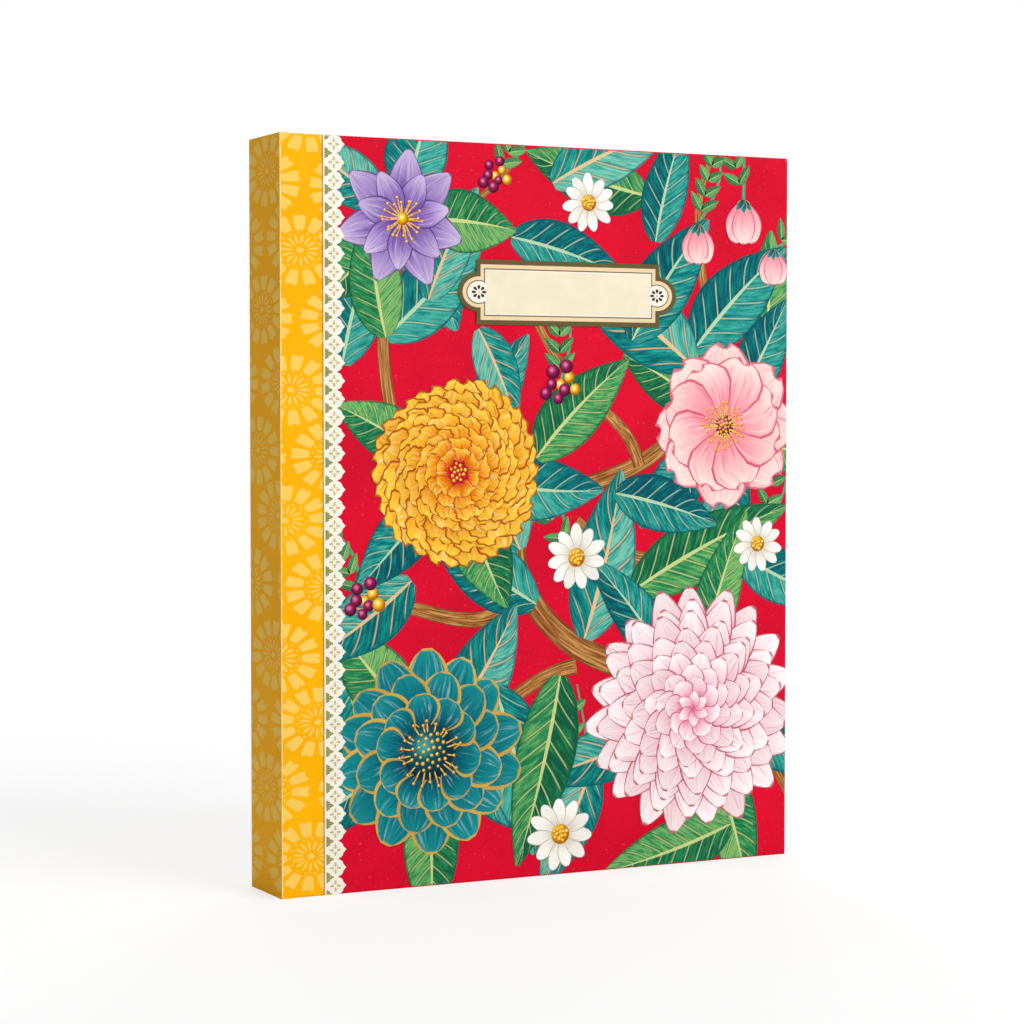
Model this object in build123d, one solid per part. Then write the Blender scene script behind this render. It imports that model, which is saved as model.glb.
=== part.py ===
"""Case-bound address book with a stepped A to Z index, standing closed on its tail edges.

The frame has +X from the spine to the fore-edge, +Y from the front cover to the back cover and +Z from
tail to head. The origin is the middle of the footprint that the book stands on. Sizes are in millimetres.

The case is three boards in one printed paper, which folds at the two long edges of the spine. The block is
24 letter sections, sewn through their folds, glued into mull and a kraft liner, and hung in the case by
its endpapers. Each section turns on the gutter line beside its sewn fold.
"""

import os

from build123d import *

# Case
COVER_W = 125.0  # spine face to the boards' fore-edge
COVER_H = 160.0  # tail to head
BOARD_T = 2.0
SPINE_BOARD_T = 2.0
BOARD_ROUND = 0.4  # worn-down arris of the board under its paper
COVER_PAPER_T = 0.15
TURN_IN = 15.0  # cover paper folded over onto the inside of a board
JOINT_CLEAR = 0.1  # board edge to the spine board, when closed
SQUARE = 3.0  # boards' overhang past the block at head, tail and fore-edge

# Endpapers
ENDPAPER_T = 0.15
PASTEDOWN_MARGIN = 2.5  # turn-in left showing round the pastedown
FLYLEAF_CLEAR = 0.05  # flyleaf to pastedown, when closed

# Sections and index
SECTION_NAMES = [*"abcdefghijklmnopqrstuvw", "xyz"]
SECTION_T = 0.475  # four leaves
SECTION_GAP = 0.02  # air between neighbouring sections
FOLD_DEPTH = 4.0  # sewn and glued back of a section, which doesn't turn
FOLD_NIP = 0.14  # broken corners of a pressed fold
GUTTER_CLEAR = 0.1  # sewn fold to the leaves that turn
TAB_DEPTH = 7.0  # how far the leaves are cut back below their tab
TAB_OUTER_R = 1.5
TAB_INNER_R = 1.0

# Sewing and spine lining
STATIONS = 6  # places along the spine where the thread links the sections
STATION_INSET = 12.0  # first and last station from the tail and head of the block
KERF_DEPTH = 0.6
KERF_W = 0.7
THREAD_D = 0.45
THREAD_CLEAR = 0.02  # thread to the floor of its kerf
MULL_T = 0.12
MULL_CLEAR = 1.0  # mull to the turn-ins and to the skirts of the bands
MULL_FLANGE_W = 22.0  # mull pasted onto each board, under the pastedown
LINER_T = 0.15
LINER_INSET = 1.0
HOLLOW = 0.25  # air between the lining and the case, which lets the spine open

# Head and tail bands
BAND_D = 1.6
BAND_RISE = 0.6  # height of the bead's centre above the leaves
BAND_SKIRT = 9.0  # cloth of the band glued down the back of the folds

# Stack through the thickness of the book
SECTIONS = len(SECTION_NAMES)
SECTION_PITCH = SECTION_T + SECTION_GAP
BLOCK_T = SECTIONS * SECTION_PITCH + SECTION_GAP
COVER_T = COVER_PAPER_T + BOARD_T + COVER_PAPER_T + ENDPAPER_T  # paper, board, turn-in, pastedown
FLYLEAF_STACK = FLYLEAF_CLEAR + ENDPAPER_T
BOOK_T = 2 * (COVER_T + FLYLEAF_STACK) + BLOCK_T

# Planes across the thickness, on the front half; the back half mirrors them
FRONT_Y = -BOOK_T / 2
BOARD_OUT_Y = FRONT_Y + COVER_PAPER_T
BOARD_IN_Y = BOARD_OUT_Y + BOARD_T
TURN_IN_Y = BOARD_IN_Y + COVER_PAPER_T
PASTEDOWN_Y = TURN_IN_Y + ENDPAPER_T
FLYLEAF_Y = PASTEDOWN_Y + FLYLEAF_CLEAR
BLOCK_Y = FLYLEAF_Y + ENDPAPER_T

# Planes from spine to fore-edge
SPINE_X = -COVER_W / 2
SPINE_BOARD_X = SPINE_X + COVER_PAPER_T
SPINE_IN_X = SPINE_BOARD_X + SPINE_BOARD_T
BOARD_X = SPINE_IN_X + JOINT_CLEAR
LINER_X = SPINE_IN_X + COVER_PAPER_T + HOLLOW
MULL_X = LINER_X + LINER_T
FOLD_X = MULL_X + MULL_T
FOLD_END_X = FOLD_X + FOLD_DEPTH
GUTTER_X = FOLD_END_X + GUTTER_CLEAR
FORE_X = COVER_W / 2
BOARD_FORE_X = FORE_X - COVER_PAPER_T
LEAF_FORE_X = FORE_X - SQUARE

# Planes from tail to head
TAIL_Z = SQUARE
HEAD_Z = COVER_H - SQUARE
LEAF_H = HEAD_Z - TAIL_Z
TAB_H = LEAF_H / SECTIONS
MULL_TAIL_Z = max(TURN_IN, SQUARE + BAND_SKIRT) + MULL_CLEAR
MULL_HEAD_Z = COVER_H - MULL_TAIL_Z
MIDDLE_PLANE = Plane.XY.offset(COVER_H / 2)


def block(x, y, z):
    """A box between the low and high values given along each axis."""
    size = (x[1] - x[0], y[1] - y[0], z[1] - z[0])
    return Pos(x[0], y[0], z[0]) * Box(*size, align=(Align.MIN, Align.MIN, Align.MIN))


def face_plane(y):
    """A drawing plane seen from the front at depth y: local x is +X, local y is +Z, extruding towards -Y."""
    return Plane(origin=(0, y, 0), x_dir=(1, 0, 0), z_dir=(0, -1, 0))


def to_back(part):
    """The back cover's twin of a front cover part."""
    return mirror(part, about=Plane.XZ)


# Case


def rounded_slab(x, y, z, radius):
    """A slab whose head, tail and fore edges are rounded, and whose spine edge is left square."""
    slab = block(x, y, z)
    spine_edges = slab.edges().group_by(Axis.X)[0]
    along_depth = slab.edges().filter_by(Axis.Y)
    edges = [e for e in slab.edges() if e not in spine_edges and e not in along_depth]
    return fillet(edges, radius)


def cover_board():
    """Front board, cut square and slightly worn down along the edges that the paper wraps."""
    return rounded_slab(
        (BOARD_X, BOARD_FORE_X),
        (BOARD_OUT_Y, BOARD_IN_Y),
        (COVER_PAPER_T, COVER_H - COVER_PAPER_T),
        BOARD_ROUND,
    )


def cover_paper(board):
    """Printed paper on the front board: outer face, wrapped edges, turn-ins and a lip to the spine fold."""
    wrap = rounded_slab(
        (BOARD_X, FORE_X), (FRONT_Y, TURN_IN_Y), (0, COVER_H), BOARD_ROUND + COVER_PAPER_T
    )
    window = block(
        (BOARD_X, FORE_X - TURN_IN), (BOARD_IN_Y, TURN_IN_Y), (TURN_IN, COVER_H - TURN_IN)
    )
    lip = block((SPINE_X, BOARD_X), (FRONT_Y, BOARD_OUT_Y), (0, COVER_H))
    return wrap - board - window + lip


def mull_flange():
    """The strip of mull that is pasted to the inside of the front board."""
    return block(
        (BOARD_X, BOARD_X + MULL_FLANGE_W),
        (BOARD_IN_Y, BOARD_IN_Y + MULL_T),
        (MULL_TAIL_Z, MULL_HEAD_Z),
    )


def pastedown(flange):
    """Endpaper half pasted over the board, the turn-ins and the mull."""
    sheet = block(
        (BOARD_X, FORE_X - PASTEDOWN_MARGIN),
        (TURN_IN_Y, PASTEDOWN_Y),
        (PASTEDOWN_MARGIN, COVER_H - PASTEDOWN_MARGIN),
    )
    sunk = block(
        (BOARD_X, FORE_X - TURN_IN), (BOARD_IN_Y, TURN_IN_Y), (TURN_IN, COVER_H - TURN_IN)
    )
    return sheet + sunk - flange


def spine_board():
    """The stiff strip that makes the flat spine, as wide as the book is thick."""
    return block(
        (SPINE_BOARD_X, SPINE_IN_X),
        (BOARD_OUT_Y, -BOARD_OUT_Y),
        (COVER_PAPER_T, COVER_H - COVER_PAPER_T),
    )


def spine_paper(board):
    """Printed paper on the spine, folded over the spine board at head and tail, between the covers."""
    wrap = block((SPINE_X, SPINE_IN_X), (BOARD_OUT_Y, -BOARD_OUT_Y), (0, COVER_H)) - board
    inner_x = (SPINE_IN_X, SPINE_IN_X + COVER_PAPER_T)
    between_covers = (FLYLEAF_Y, -FLYLEAF_Y)
    tail_turn_in = block(inner_x, between_covers, (0, TURN_IN))
    head_turn_in = block(inner_x, between_covers, (COVER_H - TURN_IN, COVER_H))
    return wrap + tail_turn_in + head_turn_in


# Block


def section_front_y(index):
    """Front face of a letter section."""
    return BLOCK_Y + SECTION_GAP + index * SECTION_PITCH


def section_fold(index, kerfs):
    """The folded back of one section, nipped flat with broken corners and sawn across for the thread."""
    back = Pos(FOLD_X, section_front_y(index)) * Rectangle(
        FOLD_DEPTH, SECTION_T, align=(Align.MIN, Align.MIN)
    )
    back = chamfer(back.vertices().group_by(Axis.X)[0], FOLD_NIP)
    return Pos(0, 0, TAIL_Z) * extrude(back, LEAF_H) - kerfs


def station_heights():
    """Heights of the sewing stations, evenly spaced between the two end stations."""
    first = TAIL_Z + STATION_INSET
    step = (LEAF_H - 2 * STATION_INSET) / (STATIONS - 1)
    return [first + i * step for i in range(STATIONS)]


def kerf_cuts():
    """The saw cuts across the folds at the sewing stations."""
    across = (BLOCK_Y, -BLOCK_Y)
    deep = (FOLD_X - KERF_DEPTH, FOLD_X + KERF_DEPTH)
    return [block(deep, across, (z - KERF_W / 2, z + KERF_W / 2)) for z in station_heights()]


def sewing_thread():
    """Linking thread, lying across all the folds in the floor of each kerf."""
    reach = BLOCK_T - 2 * SECTION_GAP
    x = FOLD_X + KERF_DEPTH - THREAD_CLEAR - THREAD_D / 2
    link = Rot(90, 0, 0) * Cylinder(THREAD_D / 2, reach)
    return [Pos(x, 0, z) * link for z in station_heights()]


def tab_foot_z(index):
    """Height of the lower edge of a section's tab."""
    return HEAD_Z - (index + 1) * TAB_H


def leaf_outline(index):
    """A section seen from the front: full width down to the foot of its tab, and cut back below it."""
    full = Pos(GUTTER_X, TAIL_Z) * Rectangle(
        LEAF_FORE_X - GUTTER_X, LEAF_H, align=(Align.MIN, Align.MIN)
    )
    if index == SECTIONS - 1:
        return full
    foot = tab_foot_z(index)
    cut = Pos(LEAF_FORE_X, TAIL_Z) * Rectangle(
        TAB_DEPTH, foot - TAIL_Z, align=(Align.MAX, Align.MIN)
    )
    stepped = full - cut
    at_foot = stepped.vertices().group_by(lambda v: abs(v.Y - foot))[0].sort_by(Axis.X)
    stepped = fillet(at_foot[-1], TAB_OUTER_R)
    at_foot = stepped.vertices().group_by(lambda v: abs(v.Y - foot))[0].sort_by(Axis.X)
    return fillet(at_foot[0], TAB_INNER_R)


def section(index):
    """The leaves of one letter, from the gutter to the fore-edge."""
    back = section_front_y(index) + SECTION_T
    return extrude(face_plane(back) * leaf_outline(index), SECTION_T)


def flyleaf():
    """The free half of the front endpaper."""
    return block((GUTTER_X, LEAF_FORE_X), (FLYLEAF_Y, BLOCK_Y), (TAIL_Z, HEAD_Z))


def endpaper_tip():
    """The edge of the front endpaper that is tipped onto the first section's fold."""
    return block((FOLD_X, FOLD_END_X), (FLYLEAF_Y, BLOCK_Y), (TAIL_Z, HEAD_Z))


def spine_mull():
    """Open-weave cloth glued to the backs of the folds."""
    return block((MULL_X, FOLD_X), (BLOCK_Y, -BLOCK_Y), (MULL_TAIL_Z, MULL_HEAD_Z))


def spine_liner():
    """Kraft paper over the mull and the skirts of the bands."""
    return block(
        (LINER_X, MULL_X), (BLOCK_Y, -BLOCK_Y), (TAIL_Z + LINER_INSET, HEAD_Z - LINER_INSET)
    )


def headband():
    """Corded band at the head: a bead sitting on the leaves, with a skirt glued down their backs."""
    radius = BAND_D / 2
    bead_x = MULL_X + radius
    bead = Pos(bead_x, HEAD_Z + BAND_RISE) * Circle(radius)
    below = Pos(bead_x, HEAD_Z) * Rectangle(BAND_D, BAND_D, align=(Align.CENTER, Align.MAX))
    skirt = Pos(MULL_X, HEAD_Z - BAND_SKIRT) * Rectangle(
        MULL_T, BAND_SKIRT + BAND_RISE, align=(Align.MIN, Align.MIN)
    )
    return extrude(face_plane(-BLOCK_Y) * (bead - below + skirt), -2 * BLOCK_Y)


def build():
    """Every piece of the book by name."""
    board = cover_board()
    flange = mull_flange()
    front = {
        "board": board,
        "cover_paper": cover_paper(board),
        "mull_flange": flange,
        "pastedown": pastedown(flange),
        "flyleaf": flyleaf(),
    }
    pieces = {f"front_{name}": part for name, part in front.items()}
    pieces |= {f"back_{name}": to_back(part) for name, part in front.items()}

    pieces["spine_board"] = spine_board()
    pieces["spine_cover_paper"] = spine_paper(pieces["spine_board"])

    kerfs = kerf_cuts()
    pieces["section_folds"] = Compound([section_fold(i, kerfs) for i in range(SECTIONS)])
    pieces["sewing_thread"] = Compound(sewing_thread())
    pieces["endpaper_tips"] = Compound([endpaper_tip(), to_back(endpaper_tip())])
    pieces["spine_mull"] = spine_mull()
    pieces["spine_liner"] = spine_liner()
    pieces["headband"] = headband()
    pieces["tailband"] = mirror(pieces["headband"], about=MIDDLE_PLANE)

    for index, name in enumerate(SECTION_NAMES):
        pieces[f"section_{name}"] = section(index)
    return pieces


if __name__ == "__main__":
    os.makedirs("parts", exist_ok=True)
    for node, shape in build().items():
        export_step(shape, f"parts/{node}.step")
    print(f"book {COVER_W:g} x {BOOK_T:.2f} x {COVER_H:g} mm, tab height {TAB_H:.2f} mm")
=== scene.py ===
"""Looks of a case-bound address book: printed paper case, lace strip, blank label, leaves and letter index.

Lengths are in millimetres until a mesh is finished. A sheet is a flat face to print on, with x to the right
and y up.
"""

import math
import random

import bmesh
import bpy
from bpy.props import FloatProperty, FloatVectorProperty, IntProperty, PointerProperty
from mathutils import Matrix, Vector
from mathutils.geometry import interpolate_bezier


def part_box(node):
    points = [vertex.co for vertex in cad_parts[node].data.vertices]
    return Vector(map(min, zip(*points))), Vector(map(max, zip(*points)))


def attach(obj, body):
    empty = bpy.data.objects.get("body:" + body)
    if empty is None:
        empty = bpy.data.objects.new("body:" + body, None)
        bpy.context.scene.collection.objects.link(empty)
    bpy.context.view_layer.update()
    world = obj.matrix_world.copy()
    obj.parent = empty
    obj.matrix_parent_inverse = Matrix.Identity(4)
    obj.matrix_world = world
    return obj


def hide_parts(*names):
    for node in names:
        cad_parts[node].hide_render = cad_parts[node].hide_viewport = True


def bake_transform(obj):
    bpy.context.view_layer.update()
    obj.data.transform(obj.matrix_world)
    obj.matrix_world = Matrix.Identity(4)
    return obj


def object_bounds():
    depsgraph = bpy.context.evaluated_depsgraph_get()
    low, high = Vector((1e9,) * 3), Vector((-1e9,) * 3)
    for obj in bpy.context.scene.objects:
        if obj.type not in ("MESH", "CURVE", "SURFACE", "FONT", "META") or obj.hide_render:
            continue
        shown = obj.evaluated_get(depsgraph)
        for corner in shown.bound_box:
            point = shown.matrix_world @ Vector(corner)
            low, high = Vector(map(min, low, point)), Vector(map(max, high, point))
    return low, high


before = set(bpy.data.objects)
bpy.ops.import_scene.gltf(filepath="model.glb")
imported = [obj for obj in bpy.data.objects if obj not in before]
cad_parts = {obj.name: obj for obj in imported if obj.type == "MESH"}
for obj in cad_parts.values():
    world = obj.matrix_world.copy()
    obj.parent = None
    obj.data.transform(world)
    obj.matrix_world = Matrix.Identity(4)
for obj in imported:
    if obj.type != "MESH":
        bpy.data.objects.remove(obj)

bl_info = {
    "name": "Address Book",
    "version": (1, 0, 0),
    "blender": (4, 5, 0),
    "location": "3D View > Sidebar > Address Book",
    "description": "Dresses a case-bound address book with a printed cover and a stepped letter index",
    "category": "Object",
}

CAD_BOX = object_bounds()
MM = 0.001
ORIGIN = (0, 0)

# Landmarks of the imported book
SPINE_X = CAD_BOX[0].x / MM
FORE_X = CAD_BOX[1].x / MM
FRONT_Y = CAD_BOX[0].y / MM
BACK_Y = CAD_BOX[1].y / MM
HEIGHT = CAD_BOX[1].z / MM
WIDTH = FORE_X - SPINE_X
THICKNESS = BACK_Y - FRONT_Y
SECTION_NAMES = [*"abcdefghijklmnopqrstuvw", "xyz"]
FOLD_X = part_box("section_folds")[0].x / MM
FOLD_END_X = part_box("section_folds")[1].x / MM
GUTTER_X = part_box("section_a")[0].x / MM
LEAF_FORE_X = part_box("section_a")[1].x / MM
LEAF_TAIL_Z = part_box("section_a")[0].z / MM
LEAF_HEAD_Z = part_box("section_a")[1].z / MM
TAB_HEIGHT = (LEAF_HEAD_Z - LEAF_TAIL_Z) / len(SECTION_NAMES)

# Print is built up as films, each at a level that counts steps off the paper
INK_STEP = 0.008
INK_FILM = 0.002
ROSETTE_LEVEL = 1
BRANCH_LEVEL = 1
TWIG_LEVEL = 2.2
LEAFLET_LEVEL = 2.45
LEAF_LEVEL = 3
LEAF_LEVELS = 11  # leaves take turns on this many levels
WEAR_AND_HIGHLIGHT_LEVEL = 4
BLOOM_LEVEL = 14
PETAL_RISE = 1.2  # levels from one ring of petals to the next
STRIP_LEVEL = 30
LABEL_LEVEL = 34
TAB_LEVEL = 0.45
LETTER_LEVEL = 0.95

# Bare margins and laps of the print
FOLD_KEEP = 0.12  # print stops this far from a fold, so that the covers clear the spine
EDGE_KEEP = 0.3  # flowers stop this far from the edges of a cover
STRIP_KEEP = 0.6  # flowers start this far past the gold strip, under the lace
MARK_KEEP = 0.2  # marks in the lace stop this far from head and tail
LACE_LAP = 0.14  # the lace laps over the strip, so that no ground shows between them
CUT_SNAP = 1e-5  # corners this near a cutting plane count as on it

# Noise in the finishes, in repeats per metre, and the bands of noise over which a tone changes
CLOUD_SCALE = 70.0
CLOUD_BAND = (0.35, 0.7)
PAPER_BAND = (0.35, 0.68)
INK_BAND = (0.3, 0.7)
FIBRE_SCALE = 1400.0
FLECK_SCALE = 700.0
RIPPLE_SCALE = 900.0
GLOSS_SCALE = 160.0
INK_SCALE = 240.0
DOT_SCALE = 1500.0
PAPER_SCALE = 55.0
PAPER_FIBRE_SCALE = 1100.0
SATIN_BAND = (0.42, 0.58)  # roughness of the film over the print

# Wear of the cover paper: between which distances from an edge it fades in, and how sparse its flecks are
EDGE_RUB = {"reach": (0.3, 0.05), "flecks": (0.64, 0.74)}
CORNER_RUB = {"reach": (1.6, 0.1), "flecks": (0.55, 0.68)}
RUB_STRENGTH = 0.3
RUBBED_RED = (250, 214, 200)
RUBBED_GOLD = (255, 240, 205)
HAIR_STRENGTH = 0.06
HAIR_BAND = (0.62, 0.8)
CLEAR_WHITE = (255, 255, 255)
GOLD_DEPTH = (0.97, 0.92, 0.8)  # share of each colour left in the darker clouds of the gold paper

# Inks of one colour: the colour, read off a screen from 0 to 255, and how far it wanders
FLAT_INKS = {
    "lace_mark_ink": ((150, 150, 78), 0.15),
    "lace_cross_ink": ((203, 186, 122), 0.12),
    # pale line on the spine's folds: partly rubbed paper, partly a painted highlight
    "fold_wear_and_highlight": ((255, 226, 150), 0.1),
    "label_line": ((112, 102, 82), 0.1),
    "label_light": ((246, 241, 224), 0.04),
    "label_mark": ((66, 50, 44), 0.1),
}
TAB_INKS = {
    "tab_red": ((206, 30, 52), 0.12),
    "tab_teal": ((8, 120, 118), 0.12),
    "tab_gold": ((244, 176, 20), 0.12),
    "tab_pink": ((232, 120, 146), 0.12),
}
LETTER_INK = {"tab_letter": ((252, 250, 244), 0.03)}

# Leaves: dark, body and light tones, and their side veins' colour and number
LEAF_INKS = {
    "teal_leaf": {
        "tones": ((2, 78, 92), (6, 128, 124), (76, 178, 160)), "vein": (190, 214, 172), "veins": 7.0,
    },
    "green_leaf": {
        "tones": ((14, 88, 62), (40, 138, 82), (128, 186, 104)), "vein": (206, 214, 138), "veins": 9.0,
    },
    "peach_leaf": {
        "tones": ((0, 92, 100), (20, 146, 136), (120, 196, 172)), "vein": (240, 192, 140), "veins": 6.0,
    },
}
LEAF_STOPS = (0.30, 0.50, 0.72)

# Branches: dark, body and light tones
BARK_INKS = {
    "branch": ((92, 50, 22), (158, 98, 46), (220, 172, 104)),
    "twig": ((30, 96, 82), (70, 146, 116), (168, 200, 140)),
}
BARK_STOPS = (0.32, 0.48, 0.66)

# Petals: tones at the base, middle and tip, the drawn line round them, and how strong the brush streaks are;
# edge is where that line starts across a petal, and deep the tone of its shadows
PETAL_INKS = {
    "blush_petal": {
        "tones": ((222, 92, 132), (246, 196, 210), (252, 244, 244)), "line": (176, 16, 62), "streak": 0.3,
    },
    "orange_petal": {
        "tones": ((206, 66, 12), (246, 138, 10), (255, 206, 64)), "line": (150, 44, 8), "streak": 0.45,
    },
    "teal_petal": {
        "tones": ((0, 62, 82), (0, 108, 122), (22, 142, 146)), "line": (232, 176, 36), "streak": 0.3,
        "edge": 0.8, "deep": (0, 46, 64),
    },
    "pink_petal": {
        "tones": ((240, 120, 140), (248, 172, 180), (253, 222, 214)), "line": (206, 62, 100), "streak": 0.4,
    },
    "violet_petal": {
        "tones": ((96, 62, 142), (148, 118, 190), (206, 186, 226)), "line": (74, 44, 116), "streak": 0.45,
    },
    "white_petal": {
        "tones": ((214, 206, 190), (250, 246, 236), (255, 255, 252)), "line": (150, 140, 120), "streak": 0.2,
    },
    "stamen": {
        "tones": ((214, 120, 10), (250, 190, 40), (255, 232, 140)), "line": (160, 76, 6), "streak": 0.3,
    },
}
PETAL_STOPS = (0.05, 0.45, 0.92)
BRUSH_WHITE = (255, 250, 240)

# Round marks: light, body and dark tones
DOT_INKS = {
    "gold_dot": ((255, 240, 170), (246, 186, 34), (170, 96, 10)),
    "plum_dot": ((226, 120, 160), (150, 26, 84), (78, 8, 48)),
    "teal_dot": ((60, 160, 160), (6, 84, 98), (2, 46, 60)),
}
DOT_STOPS = (0.14, 0.34, 0.62)
BLOOM_INKS = (*PETAL_INKS, *DOT_INKS)
BLUSH, ORANGE, TEAL, PINK, VIOLET, WHITE, STAMEN, GOLD_DOT, PLUM_DOT, TEAL_DOT = range(len(BLOOM_INKS))
TWIG = list(BARK_INKS).index("twig")
GREEN_LEAF = list(LEAF_INKS).index("green_leaf")

# Paper, board and cloth
BOARD_GREY = (150, 146, 136)
BOARD_FLECK = (96, 92, 84)
BOARD_GRAIN = 1.6
RIM_DEPTH = 0.02  # the spine board's edges are papered to this depth
ENDPAPER_FLECK = (255, 250, 236)
FOLD_FLECK = (255, 252, 244)
KRAFT = (178, 138, 92)
KRAFT_FLECK = (206, 170, 124)
KRAFT_GRAIN = 1.4
MULL_THREADS = ((232, 226, 208), (206, 198, 176))
MULL_PITCH = 0.35
SEWING_THREADS = ((238, 234, 222), (212, 206, 190))
SEWING_PITCH = 0.1
BAND_STRIPE = 0.85
BAND_CHANGE = (0.38, 0.47)
BAND_THREAD = 0.12

# Ruling of the pages, in units of their UV map
UV_SPAN = 100 * MM  # one unit of a leaf's UV map
ENTRY_LINES = 4  # writing lines for each name
RULED_SIDES = ((0.10, 0.105), (1.03, 1.025))
RULED_ENDS = ((0.09, 0.1), (1.48, 1.47))
RULE_HALF = 0.0009
ENTRY_HALF = 0.0016
MARGIN_LINE = 0.24
MARGIN_HALF = 0.001
RULE_BLUE = (150, 170, 178)
ENTRY_TEAL = (46, 138, 136)
MARGIN_RED = (226, 120, 120)

# A petal or leaf follows this start and length of a half wave in width, so that neither end closes to a point
BLADE_START = 0.03
BLADE_SPAN = 0.955
SIDE_FRILLS = 9
TIP_FRILLS = 5
PETAL_GRID = (6, 12)
PETAL_JITTER = 0.12  # share of the step between petals
PETAL_REACH = (0.93, 1.05)
PETAL_TILT = 0.42  # levels by which one side of a petal lies over its neighbour
PETAL_TINT = (0.2, 1.0)
RIBBON_STEPS = 28
GOLDEN_ANGLE = 137.508
BERRY_TURN = 137.5
BLOOM_RISE = 0.05  # levels from one flower to the next

# Centres of the flowers
SEED_SPREAD = (0.8, 1.15)
SEED_RISE = 0.02
STAMEN_JITTER = 6
STAMEN_REACH = (0.75, 1.05)
STAMEN_WIDTH = 0.35
STAMEN_RISE = 0.01
STAMEN_TIP = 0.36
STAMEN_TIP_LIFT = 0.6

# A rosette's parts, as shares of its radius
ROSETTE_TEETH = 13
ROSETTE_SPOKES = 15
HUB = 0.085
SPOKE_START = 0.17
SPOKE_LENGTH = 0.28
SPOKE_WIDTH = 0.066
BEAD_RING = 0.5
BEAD = 0.028
TOOTH_START = 0.57
TOOTH_LENGTH = 0.42
TOOTH_HALF = 0.108
TOOTH_FLARE = 0.05
TOOTH_DENT = 0.035
TOOTH_ROUND = 0.24  # how much a tooth narrows at its ends

# Where the rosettes lie on the covers and on the spine: the start of their first row, the step from one to
# the next and from row to row, how far each row drifts sideways, and how far the print is drawn out sideways
COVER_PRINT = {"start": (-3.6, 149.4), "step": (16.0, 14.1), "drift": -0.75, "stretch": 1.3}
SPINE_PRINT = {"start": (-4.1, 152.2), "step": (16.2, 14.45), "drift": -1.0, "stretch": 1.62}
ROSETTE_COLUMNS = range(-2, 3)
ROSETTE_JITTER = (0.3, 0.5)
ROSETTE_LIFTS = (0.9, 0.3)  # levels between neighbours in a row and between rows, where their edges meet
ROSETTE_SEED = 5

# Front cover: kind, place from the spine and the tail edge, radius
FRONT_BLOOMS = (
    ("dahlia", 100, 35, 28), ("marigold", 41, 89, 20.5), ("zinnia", 34, 29, 22), ("cosmos", 108, 99, 18.5),
    ("clematis", 28, 143, 15.5), ("daisy", 70, 70, 7.5), ("daisy", 117, 72, 6.5), ("daisy", 66, 9, 8),
    ("daisy", 73, 148, 6.5), ("bellflower", 113, 150, 5), ("bellflower", 101, 144, 4.4),
    ("bellflower", 121, 139, 4), ("berries", 66, 108, 4.6), ("berries", 19, 62, 4.2),
    ("berries", 50, 153, 3.6),
)
# Back cover: kind, place from the fore-edge and the tail edge, radius
BACK_BLOOMS = (
    ("cosmos", 34, 42, 19), ("zinnia", 82, 84, 18), ("dahlia", 36, 118, 23), ("marigold", 88, 26, 17),
    ("clematis", 86, 136, 15), ("daisy", 58, 70, 7), ("daisy", 12, 78, 6.5), ("daisy", 60, 10, 6.5),
    ("daisy", 60, 150, 7), ("berries", 12, 12, 4.2), ("berries", 102, 58, 4.2), ("bellflower", 104, 116, 4.6),
)
FRONT_SEED = 21
BACK_SEED = 34

# Branches: four handles, then the width at the start and at the end
FRONT_BRANCHES = (
    ((134, 2), (112, 60), (74, 30), (56, 66), 7.4, 4.8),
    ((56, 66), (48, 96), (98, 74), (103, 116), 4.8, 3.2),
    ((58, 62), (38, 62), (20, 96), (24, 128), 4.2, 2.6),
    ((132, 62), (112, 78), (92, 58), (70, 78), 4.2, 2.8),
    ((54, 60), (40, 50), (24, 70), (6, 58), 3.6, 2.4),
    ((86, 90), (82, 104), (72, 100), (60, 122), 3.0, 2.0),
    ((103, 116), (106, 132), (92, 150), (112, 168), 2.4, 1.4),
    ((24, 128), (26, 146), (52, 140), (60, 168), 1.8, 1.2),
    ((70, 46), (52, 44), (36, 20), (6, 14), 3.6, 2.0),
)
BACK_BRANCHES = (
    ((-6, 8), (20, 60), (52, 30), (64, 78), 5.0, 3.2),
    ((64, 78), (70, 104), (30, 100), (24, 166), 3.2, 1.8),
    ((62, 74), (90, 70), (72, 120), (92, 168), 2.8, 1.6),
    ((40, 48), (64, 42), (70, 14), (118, 10), 3.0, 1.8),
)
BRANCH_RISE = 0.15  # levels from one branch to the next

# Single leaves: place, direction in degrees clockwise from upright, length, width, sway, kind
FRONT_LEAVES = (
    (60, 60, -60, 30, 13, 0.12, 0), (72, 52, 20, 34, 14, -0.1, 2), (84, 62, 60, 40, 13, 0.1, 1),
    (56, 72, -25, 26, 12, 0.1, 2), (100, 116, 40, 30, 14, 0.1, 0), (100, 112, -50, 36, 15, -0.1, 2),
    (24, 118, 50, 30, 13, -0.1, 0), (24, 118, -14, 24, 11, 0.1, 1), (50, 42, 160, 34, 14, 0.1, 0),
    (66, 44, 190, 38, 13, 0.08, 1), (30, 66, 230, 26, 12, 0.1, 2), (106, 128, 70, 26, 12, 0.12, 2),
    (54, 140, 100, 26, 11, 0.1, 0), (88, 150, -80, 28, 12, 0.1, 1), (112, 70, 120, 26, 11, -0.1, 0),
    (80, 84, 100, 24, 11, 0.1, 0), (60, 92, 40, 28, 12, 0.12, 1), (46, 120, 150, 20, 9, 0.1, 2),
    (34, 126, 20, 24, 10, 0.1, 2), (110, 8, 250, 30, 12, 0.1, 1), (84, 118, 30, 30, 13, 0.1, 0),
    (64, 152, 60, 30, 12, 0.1, 2), (14, 112, 10, 24, 12, 0.1, 0), (14, 52, 170, 30, 13, -0.1, 0),
    (90, 140, 10, 24, 10, 0.1, 0), (118, 112, 10, 28, 11, -0.1, 1), (74, 24, 200, 26, 11, 0.1, 2),
)
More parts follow.
